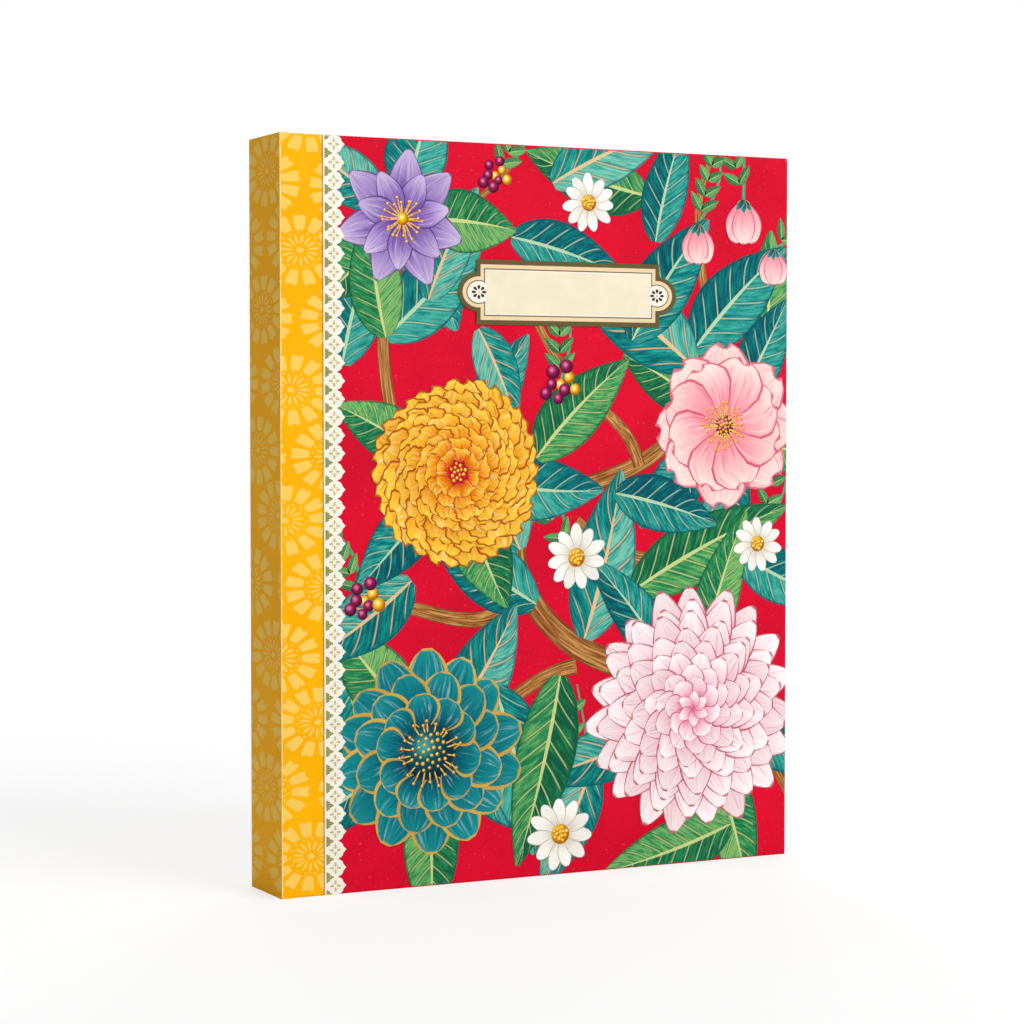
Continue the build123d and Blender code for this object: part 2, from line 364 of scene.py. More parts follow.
BACK_LEAVES = (
    (56, 66, -40, 32, 14, 0.1, 0), (64, 78, 40, 30, 13, 0.1, 2), (66, 92, -80, 30, 13, -0.1, 1),
    (28, 66, -50, 32, 14, 0.1, 2), (44, 86, 20, 26, 12, 0.1, 0), (70, 50, 110, 34, 14, 0.1, 0),
    (76, 110, 60, 30, 12, 0.1, 1), (56, 132, 30, 30, 13, 0.1, 2), (14, 96, 200, 28, 12, 0.1, 0),
    (60, 24, 160, 26, 12, 0.1, 1), (100, 46, 40, 28, 12, 0.1, 2), (70, 146, 80, 26, 11, 0.1, 0),
    (14, 144, 10, 24, 11, 0.1, 1), (108, 92, 20, 26, 12, -0.1, 0), (12, 30, 190, 26, 12, 0.1, 2),
)
LEAF_GROWTH = (1.12, 1.14)  # leaves are drawn this much longer and wider than listed
LEAF_TINT = (0.1, 0.9)
LAP_RISES = (0.3, 0.1)  # levels between leaves that share a turn, and between each three of those

# Ruff of leaves behind each flower that is large enough
LARGE_BLOOM = 10
RUFF_LEAVES = 5
RUFF_START = 0.35  # share of the flower's radius
RUFF_JITTER = 16
RUFF_REACH = (1.05, 1.3)  # shares of the flower's radius
RUFF_WIDTH = 11
RUFF_WIDENING = (0.9, 1.2)
RUFF_SWAY = 0.16

# Sprigs beside the small flowers
SPRIG_KINDS = ("daisy", "berries", "bellflower")
SPRIG_LEAN = 70
SPRIG_SWAY = 18
SPRIG_LENGTH = 6  # for a flower of no size
SPRIG_GROWTH = 3.4  # more length for each millimetre of a flower's radius
SPRIG_MIDDLE = 0.55
SPRIG_WIDTHS = (0.9, 0.4)
SPRIG_TINT = (0.2, 0.8)
SPRIG_LEAFLETS = 6  # steps along the twig, with a pair of leaflets at all but the ends
LEAFLET_RISE = 0.05
LEAFLET_LEAN = 48
LEAFLET_LENGTH = 5.4
LEAFLET_SHORTENING = 0.4
LEAFLET_WIDTH = 2.3

# Lace: its pointed edge, then the dots and crosses in each repeat
LACE_CUTS = 10  # steps along one tooth
LACE_POINT = 0.82
LACE_POINT_POWER = 0.75  # below 1, so that the sides of a tooth swell
LACE_SCALLOP = 0.18
LACE_SCALLOPS = 3  # on each tooth
LACE_DOT_COLUMNS = (5, 4, 2, 1)
LACE_DOT = 0.25
LACE_DOT_STEP = (0.42, 0.44)
LACE_DOT_RISE = 0.3  # levels between dots that touch, which take turns on five
CROSS_X = 2.3  # strip to the crosses
CROSS_START = 0.28
CROSS_ARM = (1.0, 0.5)
CROSS_BEAD_RING = 0.7
CROSS_BEAD = 0.13

# Label: inset of each layer from the one that lies at the bottom
LABEL_LAYERS = {
    "label_frame": 0.0, "label_band": 1.02, "label_line": 1.86, "label_light": 2.12, "label_panel": 2.36,
}
LOBE_SHRINK = 0.9  # the rings of the lobes are narrower than the bands along the body
LOBE_STRETCH = 1.17
LOBE_SINK = 0.6  # the lobes' centres lie this far inside the body's ends
LOBE_LIFT = 0.3  # levels from a layer of the body to the same layer of the lobes
LOBE_PETALS = 8
LOBE_PETAL_START = 0.5
LOBE_PETAL = (1.0, 0.62)
LOBE_HUB = 0.14

# Pale line along the folds of the spine: partly rubbed paper, partly a painted highlight on the fold's edge
WEAR_AND_HIGHLIGHT_SEED = 11
WEAR_AND_HIGHLIGHT_STEPS = 160
WEAR_AND_HIGHLIGHT_RAGGED = (0.35, 1.0)
WEAR_AND_HIGHLIGHT_REACH = (0.02, 0.34)  # from the fold

# Leaves, letter tabs and the paper at the joints
LEAF_GAP = 0.012
LEAF_BENDS = 12
WHOLE_LEAF_ROW = 10  # height of the middle row of a leaf that isn't cut back
TAB_CORNER_SHARE = 0.8  # a tab's foot in the looks, against the rounding in the solids
TOUCHING = 1e-4
PAGE_FACING = 0.5  # faces that point further than this towards front or back are pages
TAB_INSET = 0.35
TAB_FORE_KEEP = 0.15
TAB_CUTS = 24
LETTER_HEIGHT = 4.6
LETTERS_HEIGHT = 2.9  # of letters that share a tab
FOLD_GRID = (16, 4)
PASTEDOWN_LAP = 0.08  # an endpaper's bend starts this far onto the pastedown
FOLD_BACK = 0.02  # and ends this far behind the sewn folds
PASTEDOWN_LIFT = 0.03
FLYLEAF_LIFT = 0.08
BEND_SKIN = 0.02
JOINT_PAPER = 0.03
JOINT_CLEAR = 0.002
BARE_EDGE = 0.17
TURN_IN = 15.0

# Stage, in metres and watts
AMBIENT = 0.405
FLOOR_REACH = 6.0
FLOOR_TONE = 0.8
SHADOW_TONE = 0.36
SHADOW_GLOW = 0.68  # brings the lit floor round the book up to white
SHADOW_REACH = (0.16, 0.42)  # the floor turns plain white between these distances from the book
# Lamps: name, place, width and power
LAMPS = (("key_lamp", (0.62, -1.25, 0.75), 1.1, 18.2), ("fill_lamp", (0.7, 1.3, 0.8), 1.2, 15.0))
# Camera: degrees to the side and above, as read off the photograph
CAMERA_AZIMUTH = -26.99
CAMERA_ELEVATION = 2.177
CAMERA_TARGET = (54.1, 80.3)  # millimetres on the front cover, from the spine and from the tail edge
CAMERA_SENSOR = 36
CAMERA_NEAR = 0.01


def srgb(red, green, blue):
    """A colour as it is read off a screen, 0 to 255, as the linear values that shaders take."""
    values = []
    for value in (red, green, blue):
        share = value / 255
        linear = share / 12.92 if share <= 0.04045 else ((share + 0.055) / 1.055) ** 2.4
        values.append(linear)
    return (*values, 1.0)


def grey(tone):
    """A linear grey."""
    return (tone, tone, tone, 1.0)


def darker(colour, share):
    """A colour with only a share of its light."""
    return (*(value * share for value in colour[:3]), 1.0)


def length_property(name, description, millimetres):
    """A size that a user may change, kept in metres."""
    return FloatProperty(
        name=name, description=description, default=millimetres * MM, unit="LENGTH", precision=5
    )


def colour_property(name, description, *values):
    """A colour that a user may change."""
    return FloatVectorProperty(
        name=name, description=description, default=srgb(*values), subtype="COLOR", size=4, min=0, max=1
    )


class BookSizes(bpy.types.PropertyGroup):
    """Sizes of the print and the leaves."""

    strip: length_property("Strip width", "Gold paper strip beside the spine", 9.8)
    lace_valley: length_property("Lace valley", "Spine to the inner points of the lace edge", 12.7)
    lace_tip: length_property("Lace tip", "Spine to the outer points of the lace edge", 14.6)
    lace_teeth: IntProperty(name="Lace teeth", description="Points along the lace edge", default=42, min=4)
    rosette: length_property("Rosette radius", "Wheel rosettes on the gold paper", 7.4)
    label_left: length_property("Label left", "Spine to the label's body", 45.35)
    label_right: length_property("Label right", "Spine to the label's far end", 90.85)
    label_foot: length_property("Label foot", "Tail edge to the label's foot", 120.9)
    label_head: length_property("Label head", "Tail edge to the label's top", 134.9)
    label_lobe: length_property("Label lobe", "Radius of the label's round ends", 4.25)
    leaf_bend: length_property("Leaf bend", "Width over which a leaf bends at the gutter", 11.0)
    leaves: IntProperty(name="Leaves", description="Leaves in each letter section", default=4, min=1)
    tab: length_property("Tab depth", "How far the letter tabs stand out", 7.0)
    tab_corner: length_property("Tab corner", "Rounding of a tab's foot", 1.5)
    ruling: length_property("Ruling", "Distance between the writing lines", 7.0)
    camera_lens: FloatProperty(name="Lens", description="Camera lens", default=92.44, unit="CAMERA")
    camera_distance: length_property("Camera distance", "Camera to the front cover", 572.3)


class BookColours(bpy.types.PropertyGroup):
    """Colours of the print, paper and cloth."""

    ground: colour_property("Ground", "Red ground of the cover", 219, 10, 46)
    gold: colour_property("Gold paper", "Strip and spine", 252, 181, 2)
    rosette: colour_property("Rosettes", "Wheel rosettes on the gold paper", 249, 204, 92)
    lace: colour_property("Lace", "Lace strip", 244, 241, 228)
    olive: colour_property("Olive", "Label frame", 101, 91, 56)
    peach: colour_property("Peach", "Inner band of the label", 240, 210, 168)
    cream: colour_property("Cream", "Label panel", 239, 228, 200)
    page: colour_property("Page", "Leaves", 246, 242, 230)
    endpaper: colour_property("Endpaper", "Pastedowns and flyleaves", 243, 233, 208)


def sizes():
    """The sizes held by the scene, in metres."""
    return bpy.context.scene.address_book_sizes


def size_mm(name):
    """One of those sizes in millimetres."""
    return getattr(sizes(), name) / MM


def colours():
    """The colours held by the scene."""
    return bpy.context.scene.address_book_colours


def corner_mm(node):
    """The two corners of a node, in millimetres."""
    low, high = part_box(node)
    return low / MM, high / MM


# Node trees


class Signal:
    """A node's output, which can be reckoned with like a number."""

    def __init__(self, graph, socket):
        self.graph = graph
        self.socket = socket

    def __add__(self, other):
        return self.graph.math("ADD", self, other)

    def __sub__(self, other):
        return self.graph.math("SUBTRACT", self, other)

    def __rsub__(self, other):
        return self.graph.math("SUBTRACT", other, self)

    def __mul__(self, other):
        return self.graph.math("MULTIPLY", self, other)

    def __truediv__(self, other):
        return self.graph.math("DIVIDE", self, other)

    def __abs__(self):
        return self.graph.math("ABSOLUTE", self)

    def __gt__(self, other):
        return self.graph.math("GREATER_THAN", self, other)

    def __lt__(self, other):
        return self.graph.math("LESS_THAN", self, other)


def least(first, second):
    """The smaller of two signals."""
    return first.graph.math("MINIMUM", first, second)


def most(first, second):
    """The larger of two signals."""
    return first.graph.math("MAXIMUM", first, second)


def pleat(value, pitch):
    """A signal folded to and fro between 0 and pitch."""
    return value.graph.math("PINGPONG", value, pitch)


def reach(x, y):
    """Distance of a point from the origin."""
    return x.graph.math("SQRT", x * x + y * y)


def aside(u):
    """How far across its shape a point lies: 0 on the midline, 1 at either side."""
    return abs(u - 0.5) * 2.0


class Graph:
    """A node tree being put together, with short calls for the nodes that it needs."""

    def __init__(self, tree):
        self.tree = tree

    def feed(self, socket, value):
        """Links a socket to a signal, or sets it."""
        if isinstance(value, Signal):
            self.tree.links.new(value.socket, socket)
        else:
            socket.default_value = value

    def node(self, kind, inputs=(), **settings):
        """A new node with its settings and inputs."""
        made = self.tree.nodes.new(kind)
        for key, value in settings.items():
            setattr(made, key, value)
        for key, value in dict(inputs).items():
            self.feed(made.inputs[key], value)
        return made

    def signal(self, kind, inputs=(), output=0, **settings):
        """One output of a new node."""
        return Signal(self, self.node(kind, inputs, **settings).outputs[output])

    def math(self, operation, first, second=0.0, third=0.0):
        """One arithmetic step."""
        return self.signal("ShaderNodeMath", {0: first, 1: second, 2: third}, operation=operation)

    def mix(self, share, first, second):
        """A blend of two colours."""
        inputs = {0: share, 6: first, 7: second}
        return self.signal("ShaderNodeMix", inputs, output=2, data_type="RGBA", clamp_factor=True)

    def rise(self, value, low, high):
        """A smooth step from 0 at low to 1 at high."""
        inputs = {0: value, 1: low, 2: high}
        return self.signal("ShaderNodeMapRange", inputs, interpolation_type="SMOOTHSTEP")

    def between(self, value, start, end):
        """1 between two soft limits, each given by where it is 0 and where it is 1."""
        return self.rise(value, *start) * self.rise(value, *end)

    def spread(self, value, low, high):
        """Takes 0 to 1 onto low to high."""
        return self.signal("ShaderNodeMapRange", {0: value, 3: low, 4: high})

    def ramp(self, value, positions, tones):
        """A colour ramp through screen colours at the given positions."""
        made = self.node("ShaderNodeValToRGB", {0: value})
        elements = made.color_ramp.elements
        while len(elements) < len(positions):
            elements.new(0.5)
        for element, position, tone in zip(elements, positions, tones):
            element.position = position
            element.color = srgb(*tone)
        return Signal(self, made.outputs[0])

    def noise(self, vector, scale, detail, roughness=0.5):
        """Fractal noise between 0 and 1."""
        inputs = {"Vector": vector, "Scale": scale, "Detail": detail, "Roughness": roughness}
        return self.signal("ShaderNodeTexNoise", inputs)

    def place(self, kind="Object"):
        """Object or UV coordinates."""
        return self.signal("ShaderNodeTexCoord", output=kind)

    def split(self, vector):
        """The three parts of a vector."""
        return [Signal(self, socket) for socket in self.node("ShaderNodeSeparateXYZ", {0: vector}).outputs]

    def join(self, x, y, z=0.0):
        """A vector from its parts."""
        return self.signal("ShaderNodeCombineXYZ", {0: x, 1: y, 2: z})


class Finish(Graph):
    """A material, which has the surface of print unless it is told otherwise."""

    def __init__(self, name, roughness=0.45, shine=0.04):
        self.material = bpy.data.materials.new(name)
        self.material.use_nodes = True
        super().__init__(self.material.node_tree)
        self.surface = self.tree.nodes["Principled BSDF"]
        self.surface.inputs["Roughness"].default_value = roughness
        self.surface.inputs["Specular IOR Level"].default_value = shine

    def tint(self):
        """The number that each printed shape carries to differ from its neighbours."""
        return self.signal("ShaderNodeAttribute", output="Fac", attribute_name="tint")

    def colour(self, value):
        """Sets the base colour."""
        self.feed(self.surface.inputs["Base Color"], value)

    def bump(self, height, strength, distance):
        """Raises the surface by a height pattern."""
        inputs = {"Height": height, "Strength": strength, "Distance": distance * MM}
        self.feed(self.surface.inputs["Normal"], self.signal("ShaderNodeBump", inputs))

    def gloss(self, pattern, low, high):
        """Lets the roughness wander between two values."""
        self.feed(self.surface.inputs["Roughness"], self.spread(pattern, low, high))

    def sheen(self, weight):
        """Gives cloth its soft edge light."""
        self.surface.inputs["Sheen Weight"].default_value = weight


# Finishes


def laminate(finish):
    """Thin satin film over the print, with a faint waviness."""
    where = finish.place()
    finish.bump(finish.noise(where, RIPPLE_SCALE, detail=2.0), strength=0.08, distance=0.05)
    finish.gloss(finish.noise(where, GLOSS_SCALE, detail=2.0), *SATIN_BAND)


def rubbed(finish, distance, fleck, rub):
    """1 in the flecks where print is worn off near an edge, 0 elsewhere."""
    outer, inner = rub["reach"]
    return finish.rise(distance, outer * MM, inner * MM) * finish.rise(fleck, *rub["flecks"])


def gold_colour(finish, cloud):
    """Gold paper with a faint cloudiness."""
    gold = colours().gold
    deep = (*(value * share for value, share in zip(gold, GOLD_DEPTH)), 1.0)
    return finish.mix(finish.rise(cloud, *CLOUD_BAND), gold, deep)


def cover_finish():
    """Red ground, gold strip beside the spine and pale wear along the wrapped edges."""
    finish = Finish("cover_print")
    where = finish.place()
    x, _, z = finish.split(where)
    cloud = finish.noise(where, CLOUD_SCALE, detail=4.0)
    ground = colours().ground
    red = finish.mix(finish.rise(cloud, *CLOUD_BAND), ground, darker(ground, 0.86))
    past_strip = x > SPINE_X * MM + sizes().strip
    printed = finish.mix(past_strip, gold_colour(finish, cloud), red)
    to_fore = FORE_X * MM - x
    to_end = least(HEIGHT * MM - z, z)
    fleck = finish.noise(where, FLECK_SCALE, detail=4.0, roughness=0.6)
    edge = rubbed(finish, least(to_fore, to_end), fleck, EDGE_RUB)
    corner = rubbed(finish, most(to_fore, to_end), fleck, CORNER_RUB)
    bare = finish.mix(most(edge, corner) * RUB_STRENGTH, printed, srgb(*RUBBED_RED))
    hair = finish.rise(finish.noise(where, FIBRE_SCALE, detail=2.0), *HAIR_BAND)
    finish.colour(finish.mix(hair * HAIR_STRENGTH, bare, srgb(*CLEAR_WHITE)))
    laminate(finish)
    return finish.material


def spine_finish():
    """Gold paper of the spine, rubbed pale at head and tail."""
    finish = Finish("spine_print")
    where = finish.place()
    z = finish.split(where)[2]
    cloud = finish.noise(where, CLOUD_SCALE, detail=4.0)
    fleck = finish.noise(where, FLECK_SCALE, detail=4.0, roughness=0.6)
    edge = rubbed(finish, least(z, HEIGHT * MM - z), fleck, EDGE_RUB)
    finish.colour(finish.mix(edge * RUB_STRENGTH, gold_colour(finish, cloud), srgb(*RUBBED_GOLD)))
    laminate(finish)
    return finish.material


def flat_ink(name, colour, wander):
    """One printed colour with slight unevenness."""
    finish = Finish(name)
    cloud = finish.noise(finish.place(), INK_SCALE, detail=3.0)
    finish.colour(finish.mix(finish.rise(cloud, *INK_BAND), colour, darker(colour, 1 - wander)))
    laminate(finish)
    return finish.material


def flat_inks(table):
    """Makes the inks of a table of screen colours."""
    for name, (tone, wander) in table.items():
        flat_ink(name, srgb(*tone), wander)


def petal_ink(name, tones, line, streak, edge=0.86, deep=None):
    """Petals brushed from base to tip, with streaks along them and a drawn edge."""
    finish = Finish(name)
    u, v, _ = finish.split(finish.place("UV"))
    tint = finish.tint()
    line_colour = srgb(*line)
    deep_colour = srgb(*(deep or line))
    brush = finish.noise(finish.join(u * 9.0, v, tint * 37.0), scale=1.6, detail=4.0, roughness=0.6)
    body = finish.ramp(v + (brush - 0.5) * 0.55, PETAL_STOPS, tones)
    light = finish.mix(finish.rise(brush, low=0.55, high=0.72) * streak, body, srgb(*BRUSH_WHITE))
    worked = finish.mix(finish.rise(brush, low=0.44, high=0.32) * streak, light, deep_colour)
    side_line = finish.rise(aside(u), low=edge, high=edge + 0.08)
    tip_line = finish.rise(v, low=0.955, high=0.985)
    drawn = finish.mix(most(side_line, tip_line) * 0.85, worked, line_colour)
    finish.colour(finish.mix((1.0 - tint) * 0.28, drawn, deep_colour))
    laminate(finish)


def leaf_ink(name, tones, vein, veins):
    """Leaves with a midrib, slanting side veins, a lighter half and brush strokes between the veins."""
    finish = Finish(name)
    u, v, _ = finish.split(finish.place("UV"))
    tint = finish.tint()
    across = aside(u)
    dark_colour = srgb(*tones[0])
    vein_colour = srgb(*vein)
    slant = v * veins - across * 1.5
    brush = finish.noise(finish.join(slant * 2.2, across * 0.9, tint), scale=2.6, detail=5.0, roughness=0.65)
    lighter_half = (finish.rise(u - 0.5, low=-0.06, high=0.06) - 0.5) * 0.2
    paint = finish.ramp(brush + lighter_half + (tint - 0.5) * 0.2, LEAF_STOPS, tones)
    wave = pleat(slant, 0.5)
    shaded = finish.mix(finish.rise(wave, low=0.16, high=0.09) * 0.55, paint, dark_colour)
    rib = (1.0 - finish.rise(wave, low=0.02, high=0.075)) * finish.rise(across, low=0.93, high=0.7)
    ribbed = finish.mix(rib * 0.65, shaded, vein_colour)
    midrib = across < v * -0.05 + 0.075
    spined = finish.mix(midrib * 0.9, ribbed, vein_colour)
    finish.colour(finish.mix(finish.rise(across, low=0.9, high=0.97) * 0.8, spined, dark_colour))
    laminate(finish)


def bark_ink(name, tones):
    """Branches with long streaks of bark."""
    finish = Finish(name)
    u, v, _ = finish.split(finish.place("UV"))
    brush = finish.noise(finish.join(u * 7.0, v * 5.0, finish.tint()), scale=2.0, detail=5.0, roughness=0.6)
    paint = finish.ramp(brush, BARK_STOPS, tones)
    finish.colour(finish.mix(finish.rise(aside(u), low=0.7, high=1.0) * 0.75, paint, srgb(*tones[0])))
    laminate(finish)


def dot_ink(name, tones):
    """Round marks such as berries and flower centres, lit from one side."""
    finish = Finish(name)
    u, v, _ = finish.split(finish.place("UV"))
    from_light = reach(u - 0.4, v - 0.62)
    rough = finish.noise(finish.place(), DOT_SCALE, detail=3.0)
    finish.colour(finish.ramp(rough * 0.18 + from_light, DOT_STOPS, tones))
    laminate(finish)


def paper_finish(name, colour, fleck, grain=1.0, rim=None):
    """Uncoated paper or board with fibres; gold paper covers it further than rim from the middle."""
    finish = Finish(name, roughness=0.86, shine=0.2)
    where = finish.place()
    cloud = finish.noise(where, PAPER_SCALE, detail=4.0)
    fibre = finish.noise(where, PAPER_FIBRE_SCALE, detail=4.0, roughness=0.7)
    base = finish.mix(finish.rise(cloud, *PAPER_BAND), colour, darker(colour, 0.93))
    paper = finish.mix(finish.rise(fibre, low=0.58, high=0.75) * (0.35 * grain), base, srgb(*fleck))
    if rim:
        past_rim = abs(finish.split(where)[1]) > rim
        paper = finish.mix(past_rim, paper, gold_colour(finish, cloud))
    finish.colour(paper)
    finish.bump(fibre, strength=0.25 * grain, distance=0.03)
    return finish.material


def ruling(finish, base, u, v):
    """Pale writing lines over a page, a stronger one under each name, and a margin line."""
    pitch = sizes().ruling / UV_SPAN
    written = finish.between(u, *RULED_SIDES) * finish.between(v, *RULED_ENDS)
    line = pleat(v, pitch / 2) < RULE_HALF
    ruled = finish.mix(line * written * 0.75, base, srgb(*RULE_BLUE))
    entry = pleat(v, pitch * ENTRY_LINES / 2) < ENTRY_HALF
    parted = finish.mix(entry * written * 0.8, ruled, srgb(*ENTRY_TEAL))
    margin = finish.math("COMPARE", u, MARGIN_LINE, MARGIN_HALF)
    return finish.mix(margin * 0.6, parted, srgb(*MARGIN_RED))


def page_finish(name, colour, ruled):
    """Leaf paper with faint fibres, and ruling on the pages that are written on."""
    finish = Finish(name, roughness=0.88, shine=0.2)
    u, v, _ = finish.split(finish.place("UV"))
    spot = finish.join(u, v)
    cloud = finish.noise(spot, scale=5.0, detail=4.0)
    fibre = finish.noise(spot, scale=120.0, detail=4.0, roughness=0.7)
    base = finish.mix(finish.rise(cloud, *PAPER_BAND), colour, darker(colour, 0.95))
    finish.colour(ruling(finish, base, u, v) if ruled else base)
    finish.bump(fibre, strength=0.12, distance=0.02)
    return finish.material


def weave_finish(name, threads, pitch, axes):
    """Cloth of crossing threads; axes names the two directions that they run along."""
    finish = Finish(name, roughness=0.9, shine=0.15)
    parts = finish.split(finish.place())
    first, second = (pleat(parts[axis], pitch * MM) for axis in axes)
    finish.colour(finish.mix(first > second, *(srgb(*thread) for thread in threads)))
    finish.bump(most(first, second) / (pitch * MM), strength=0.6, distance=0.08)
    finish.sheen(0.2)
    return finish.material


def band_finish():
    """Head and tail bands, sewn in two colours that alternate across the book."""
    finish = Finish("band_stripes", roughness=0.7, shine=0.25)
    y = finish.split(finish.place())[1]
    start, end = BAND_CHANGE
    stripe = finish.rise(pleat(y, BAND_STRIPE * MM), start * MM, end * MM)
    finish.colour(finish.mix(stripe, colours().ground, colours().gold))
    finish.bump(pleat(y, BAND_THREAD * MM) / (BAND_THREAD * MM), strength=0.5, distance=0.08)
    finish.sheen(0.3)
    return finish.material


def mix_inks():
    """Makes every ink of the print."""
    tones = colours()
    flat_ink("rosette_ink", tones.rosette, wander=0.03)
    flat_ink("lace_ink", tones.lace, wander=0.05)
    flat_ink("label_frame", tones.olive, wander=0.1)
    flat_ink("label_band", tones.peach, wander=0.05)
    flat_ink("label_panel", tones.cream, wander=0.05)
    flat_inks(FLAT_INKS)
    for name, ink in LEAF_INKS.items():
        leaf_ink(name, **ink)
    for name, bark in BARK_INKS.items():
        bark_ink(name, bark)
    for name, ink in PETAL_INKS.items():
        petal_ink(name, **ink)
    for name, dot in DOT_INKS.items():
        dot_ink(name, dot)


def shared(*names):
    """Materials by name."""
    return [bpy.data.materials[name] for name in names]


def dress_nodes(finishes):
    """Gives CAD nodes their materials."""
    for node, material in finishes.items():
        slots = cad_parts[node].data.materials
        slots.clear()
        slots.append(material)


# Print on a flat sheet


def sheet_matrix(corner, right):
    """Takes print, x along right and y up, onto a face whose lower left corner is given."""
    right = Vector(right)
    up = Vector((0, 0, 1))
    axes = Matrix((right, up, right.cross(up))).transposed().to_4x4()
    return Matrix.Translation(Vector(corner) * MM) @ axes @ Matrix.Scale(MM, 4)


FRONT_SHEET = sheet_matrix((SPINE_X, FRONT_Y, 0), (1, 0, 0))
SPINE_SHEET = sheet_matrix((SPINE_X, BACK_Y, 0), (0, -1, 0))
BACK_SHEET = sheet_matrix((FORE_X, BACK_Y, 0), (-1, 0, 0))


def everything(mesh):
    """All the corners, edges and faces of a bmesh."""
    return mesh.verts[:] + mesh.edges[:] + mesh.faces[:]


def settle(name, mesh, materials, body=None):
    """Turns a finished bmesh into an object with its materials, riding on a body."""
    data = bpy.data.meshes.new(name)
    mesh.to_mesh(data)
    mesh.free()
    for material in materials:
        data.materials.append(material)
    piece = bpy.data.objects.new(name, data)
    bpy.context.scene.collection.objects.link(piece)
    if body:
        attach(piece, body)
    return piece


class Ink:
    """Thin printed shapes gathered for one piece, laid out on a flat sheet."""

    def __init__(self):
        self.mesh = bmesh.new()
        self.mesh.loops.layers.uv.new("UVMap")
        self.tint = self.mesh.faces.layers.float.new("tint")

    def dress(self, verts, ink, tint):
        """Gives a new shape its colour number and tint, and turns it to face off the paper."""
        for face in {face for vert in verts for face in vert.link_faces}:
            face.material_index = ink
            face[self.tint] = tint
            face.normal_update()
            if face.normal.z < 0:
                face.normal_flip()

    def warp(self, across, along, place, level, ink=0, tint=0.5):
        """A grid bent by place(u, v): u from -1 to 1 and v from 0 to 1 become x, y and a lift in levels."""
        grid = bmesh.ops.create_grid(self.mesh, x_segments=across, y_segments=along, size=0.5, calc_uvs=True)
        for vert in grid["verts"]:
            x, y, lift = place(2 * vert.co.x, vert.co.y + 0.5)
            vert.co = (x, y, (level + lift) * INK_STEP)
        self.dress(grid["verts"], ink, tint)

    def disc(self, centre, radius, level, ink=0, sides=20):
        """A round mark."""
        circle = bmesh.ops.create_circle(
            self.mesh, cap_ends=True, segments=sides, radius=radius, calc_uvs=True
        )
        bmesh.ops.translate(self.mesh, verts=circle["verts"], vec=(*centre, level * INK_STEP))
        self.dress(circle["verts"], ink, tint=0.5)

    def bar(self, low, high, level, ink):
        """An upright rectangle between two corners."""

        def place(u, v):
            return low[0] + (u + 1) / 2 * (high[0] - low[0]), low[1] + v * (high[1] - low[1]), 0

        self.warp(1, 1, place, level, ink)

    def take(self, data):
        """Adds a mesh and gives back its new corners."""
        start = len(self.mesh.verts)
        self.mesh.from_mesh(data)
        self.mesh.verts.ensure_lookup_table()
        return self.mesh.verts[start:]

    def outline(self, data, centre, level, ink):
        """A flat outline made elsewhere, such as a letter."""
        fresh = self.take(data)
        bmesh.ops.translate(self.mesh, verts=fresh, vec=(*centre, level * INK_STEP))
        self.dress(fresh, ink, tint=0.5)

    def stamp(self, pattern, places):
        """Prints another Ink again at each place: x, y, a turn in degrees and a lift in levels."""
        data = bpy.data.meshes.new("pattern")
        pattern.mesh.to_mesh(data)
        pattern.mesh.free()
        for x, y, turn, lift in places:
            spot = Matrix.Translation((x, y, lift * INK_STEP)) @ Matrix.Rotation(math.radians(-turn), 4, "Z")
            bmesh.ops.transform(self.mesh, matrix=spot, verts=self.take(data))
        bpy.data.meshes.remove(data)

    def stretch(self, share):
        """Draws the print out sideways from x = 0."""
        bmesh.ops.scale(self.mesh, verts=self.mesh.verts[:], vec=(share, 1, 1))

    def trim(self, low, high):
        """Cuts off what reaches past a rectangle."""
        for corner, turn in ((low, -1), (high, 1)):
            for axis in (0, 1):
                point = Vector((0, 0, 0))
                point[axis] = corner[axis]
                normal = Vector((0, 0, 0))
                normal[axis] = turn
                bmesh.ops.bisect_plane(
                    self.mesh, geom=everything(self.mesh), dist=CUT_SNAP, plane_co=point, plane_no=normal,
                    clear_outer=True,
                )

    def piece(self, name, matrix, body, materials, slot="cover_paper"):
        """Gives the film its thickness, lays it on its face and makes it ride."""
        bmesh.ops.solidify(self.mesh, geom=self.mesh.faces[:], thickness=INK_FILM)
        bmesh.ops.transform(self.mesh, matrix=matrix, verts=self.mesh.verts[:])
        settle(name, self.mesh, materials, body)


def turned(base, angle, x, y):
    """A point of a shape that grows from base towards angle, in degrees clockwise from upright."""
    turn = math.radians(angle)
    return (
        base[0] + x * math.cos(turn) + y * math.sin(turn),
        base[1] - x * math.sin(turn) + y * math.cos(turn),
    )


def blade(base, angle, length, width, belly=0.8, fullness=0.8, bend=0.0, tilt=0.0, notch=0.0, frill=0.0):
    """A petal or leaf: belly moves its widest point, fullness below 1 rounds it, bend sways its tip."""

    def place(u, v):
        share = (BLADE_START + BLADE_SPAN * v) ** belly
        half = width / 2 * math.sin(math.pi * share) ** fullness
        half *= 1 + frill * math.sin(SIDE_FRILLS * math.pi * v)
        dent = notch * v ** 8 * (1 - u * u)
        ruffle = frill * 0.5 * v ** 4 * math.sin(TIP_FRILLS * math.pi * u)
        x = u * half + bend * length * v * v
        return (*turned(base, angle, x, length * (v - dent + ruffle)), tilt * u)

    return place


def ribbon(points, start, end):
    """A stem along a curve through four handles, tapering from start to end in width."""
    curve = interpolate_bezier(*[Vector((*point, 0)) for point in points], RIBBON_STEPS + 1)

    def place(u, v):
        index = min(round(v * RIBBON_STEPS), RIBBON_STEPS)
        ahead = curve[min(index + 1, RIBBON_STEPS)] - curve[max(index - 1, 0)]
        sideways = Vector((ahead.y, -ahead.x, 0)).normalized()
        spot = curve[index] + sideways * u * (start + (end - start) * v) / 2
        return spot.x, spot.y, 0

    return place


def stem(ink, points, start, end, level, colour, tint):
    """Draws a stem."""
    ink.warp(3, RIBBON_STEPS, ribbon(points, start, end), level, colour, tint)


# Wheel rosettes of the gold paper


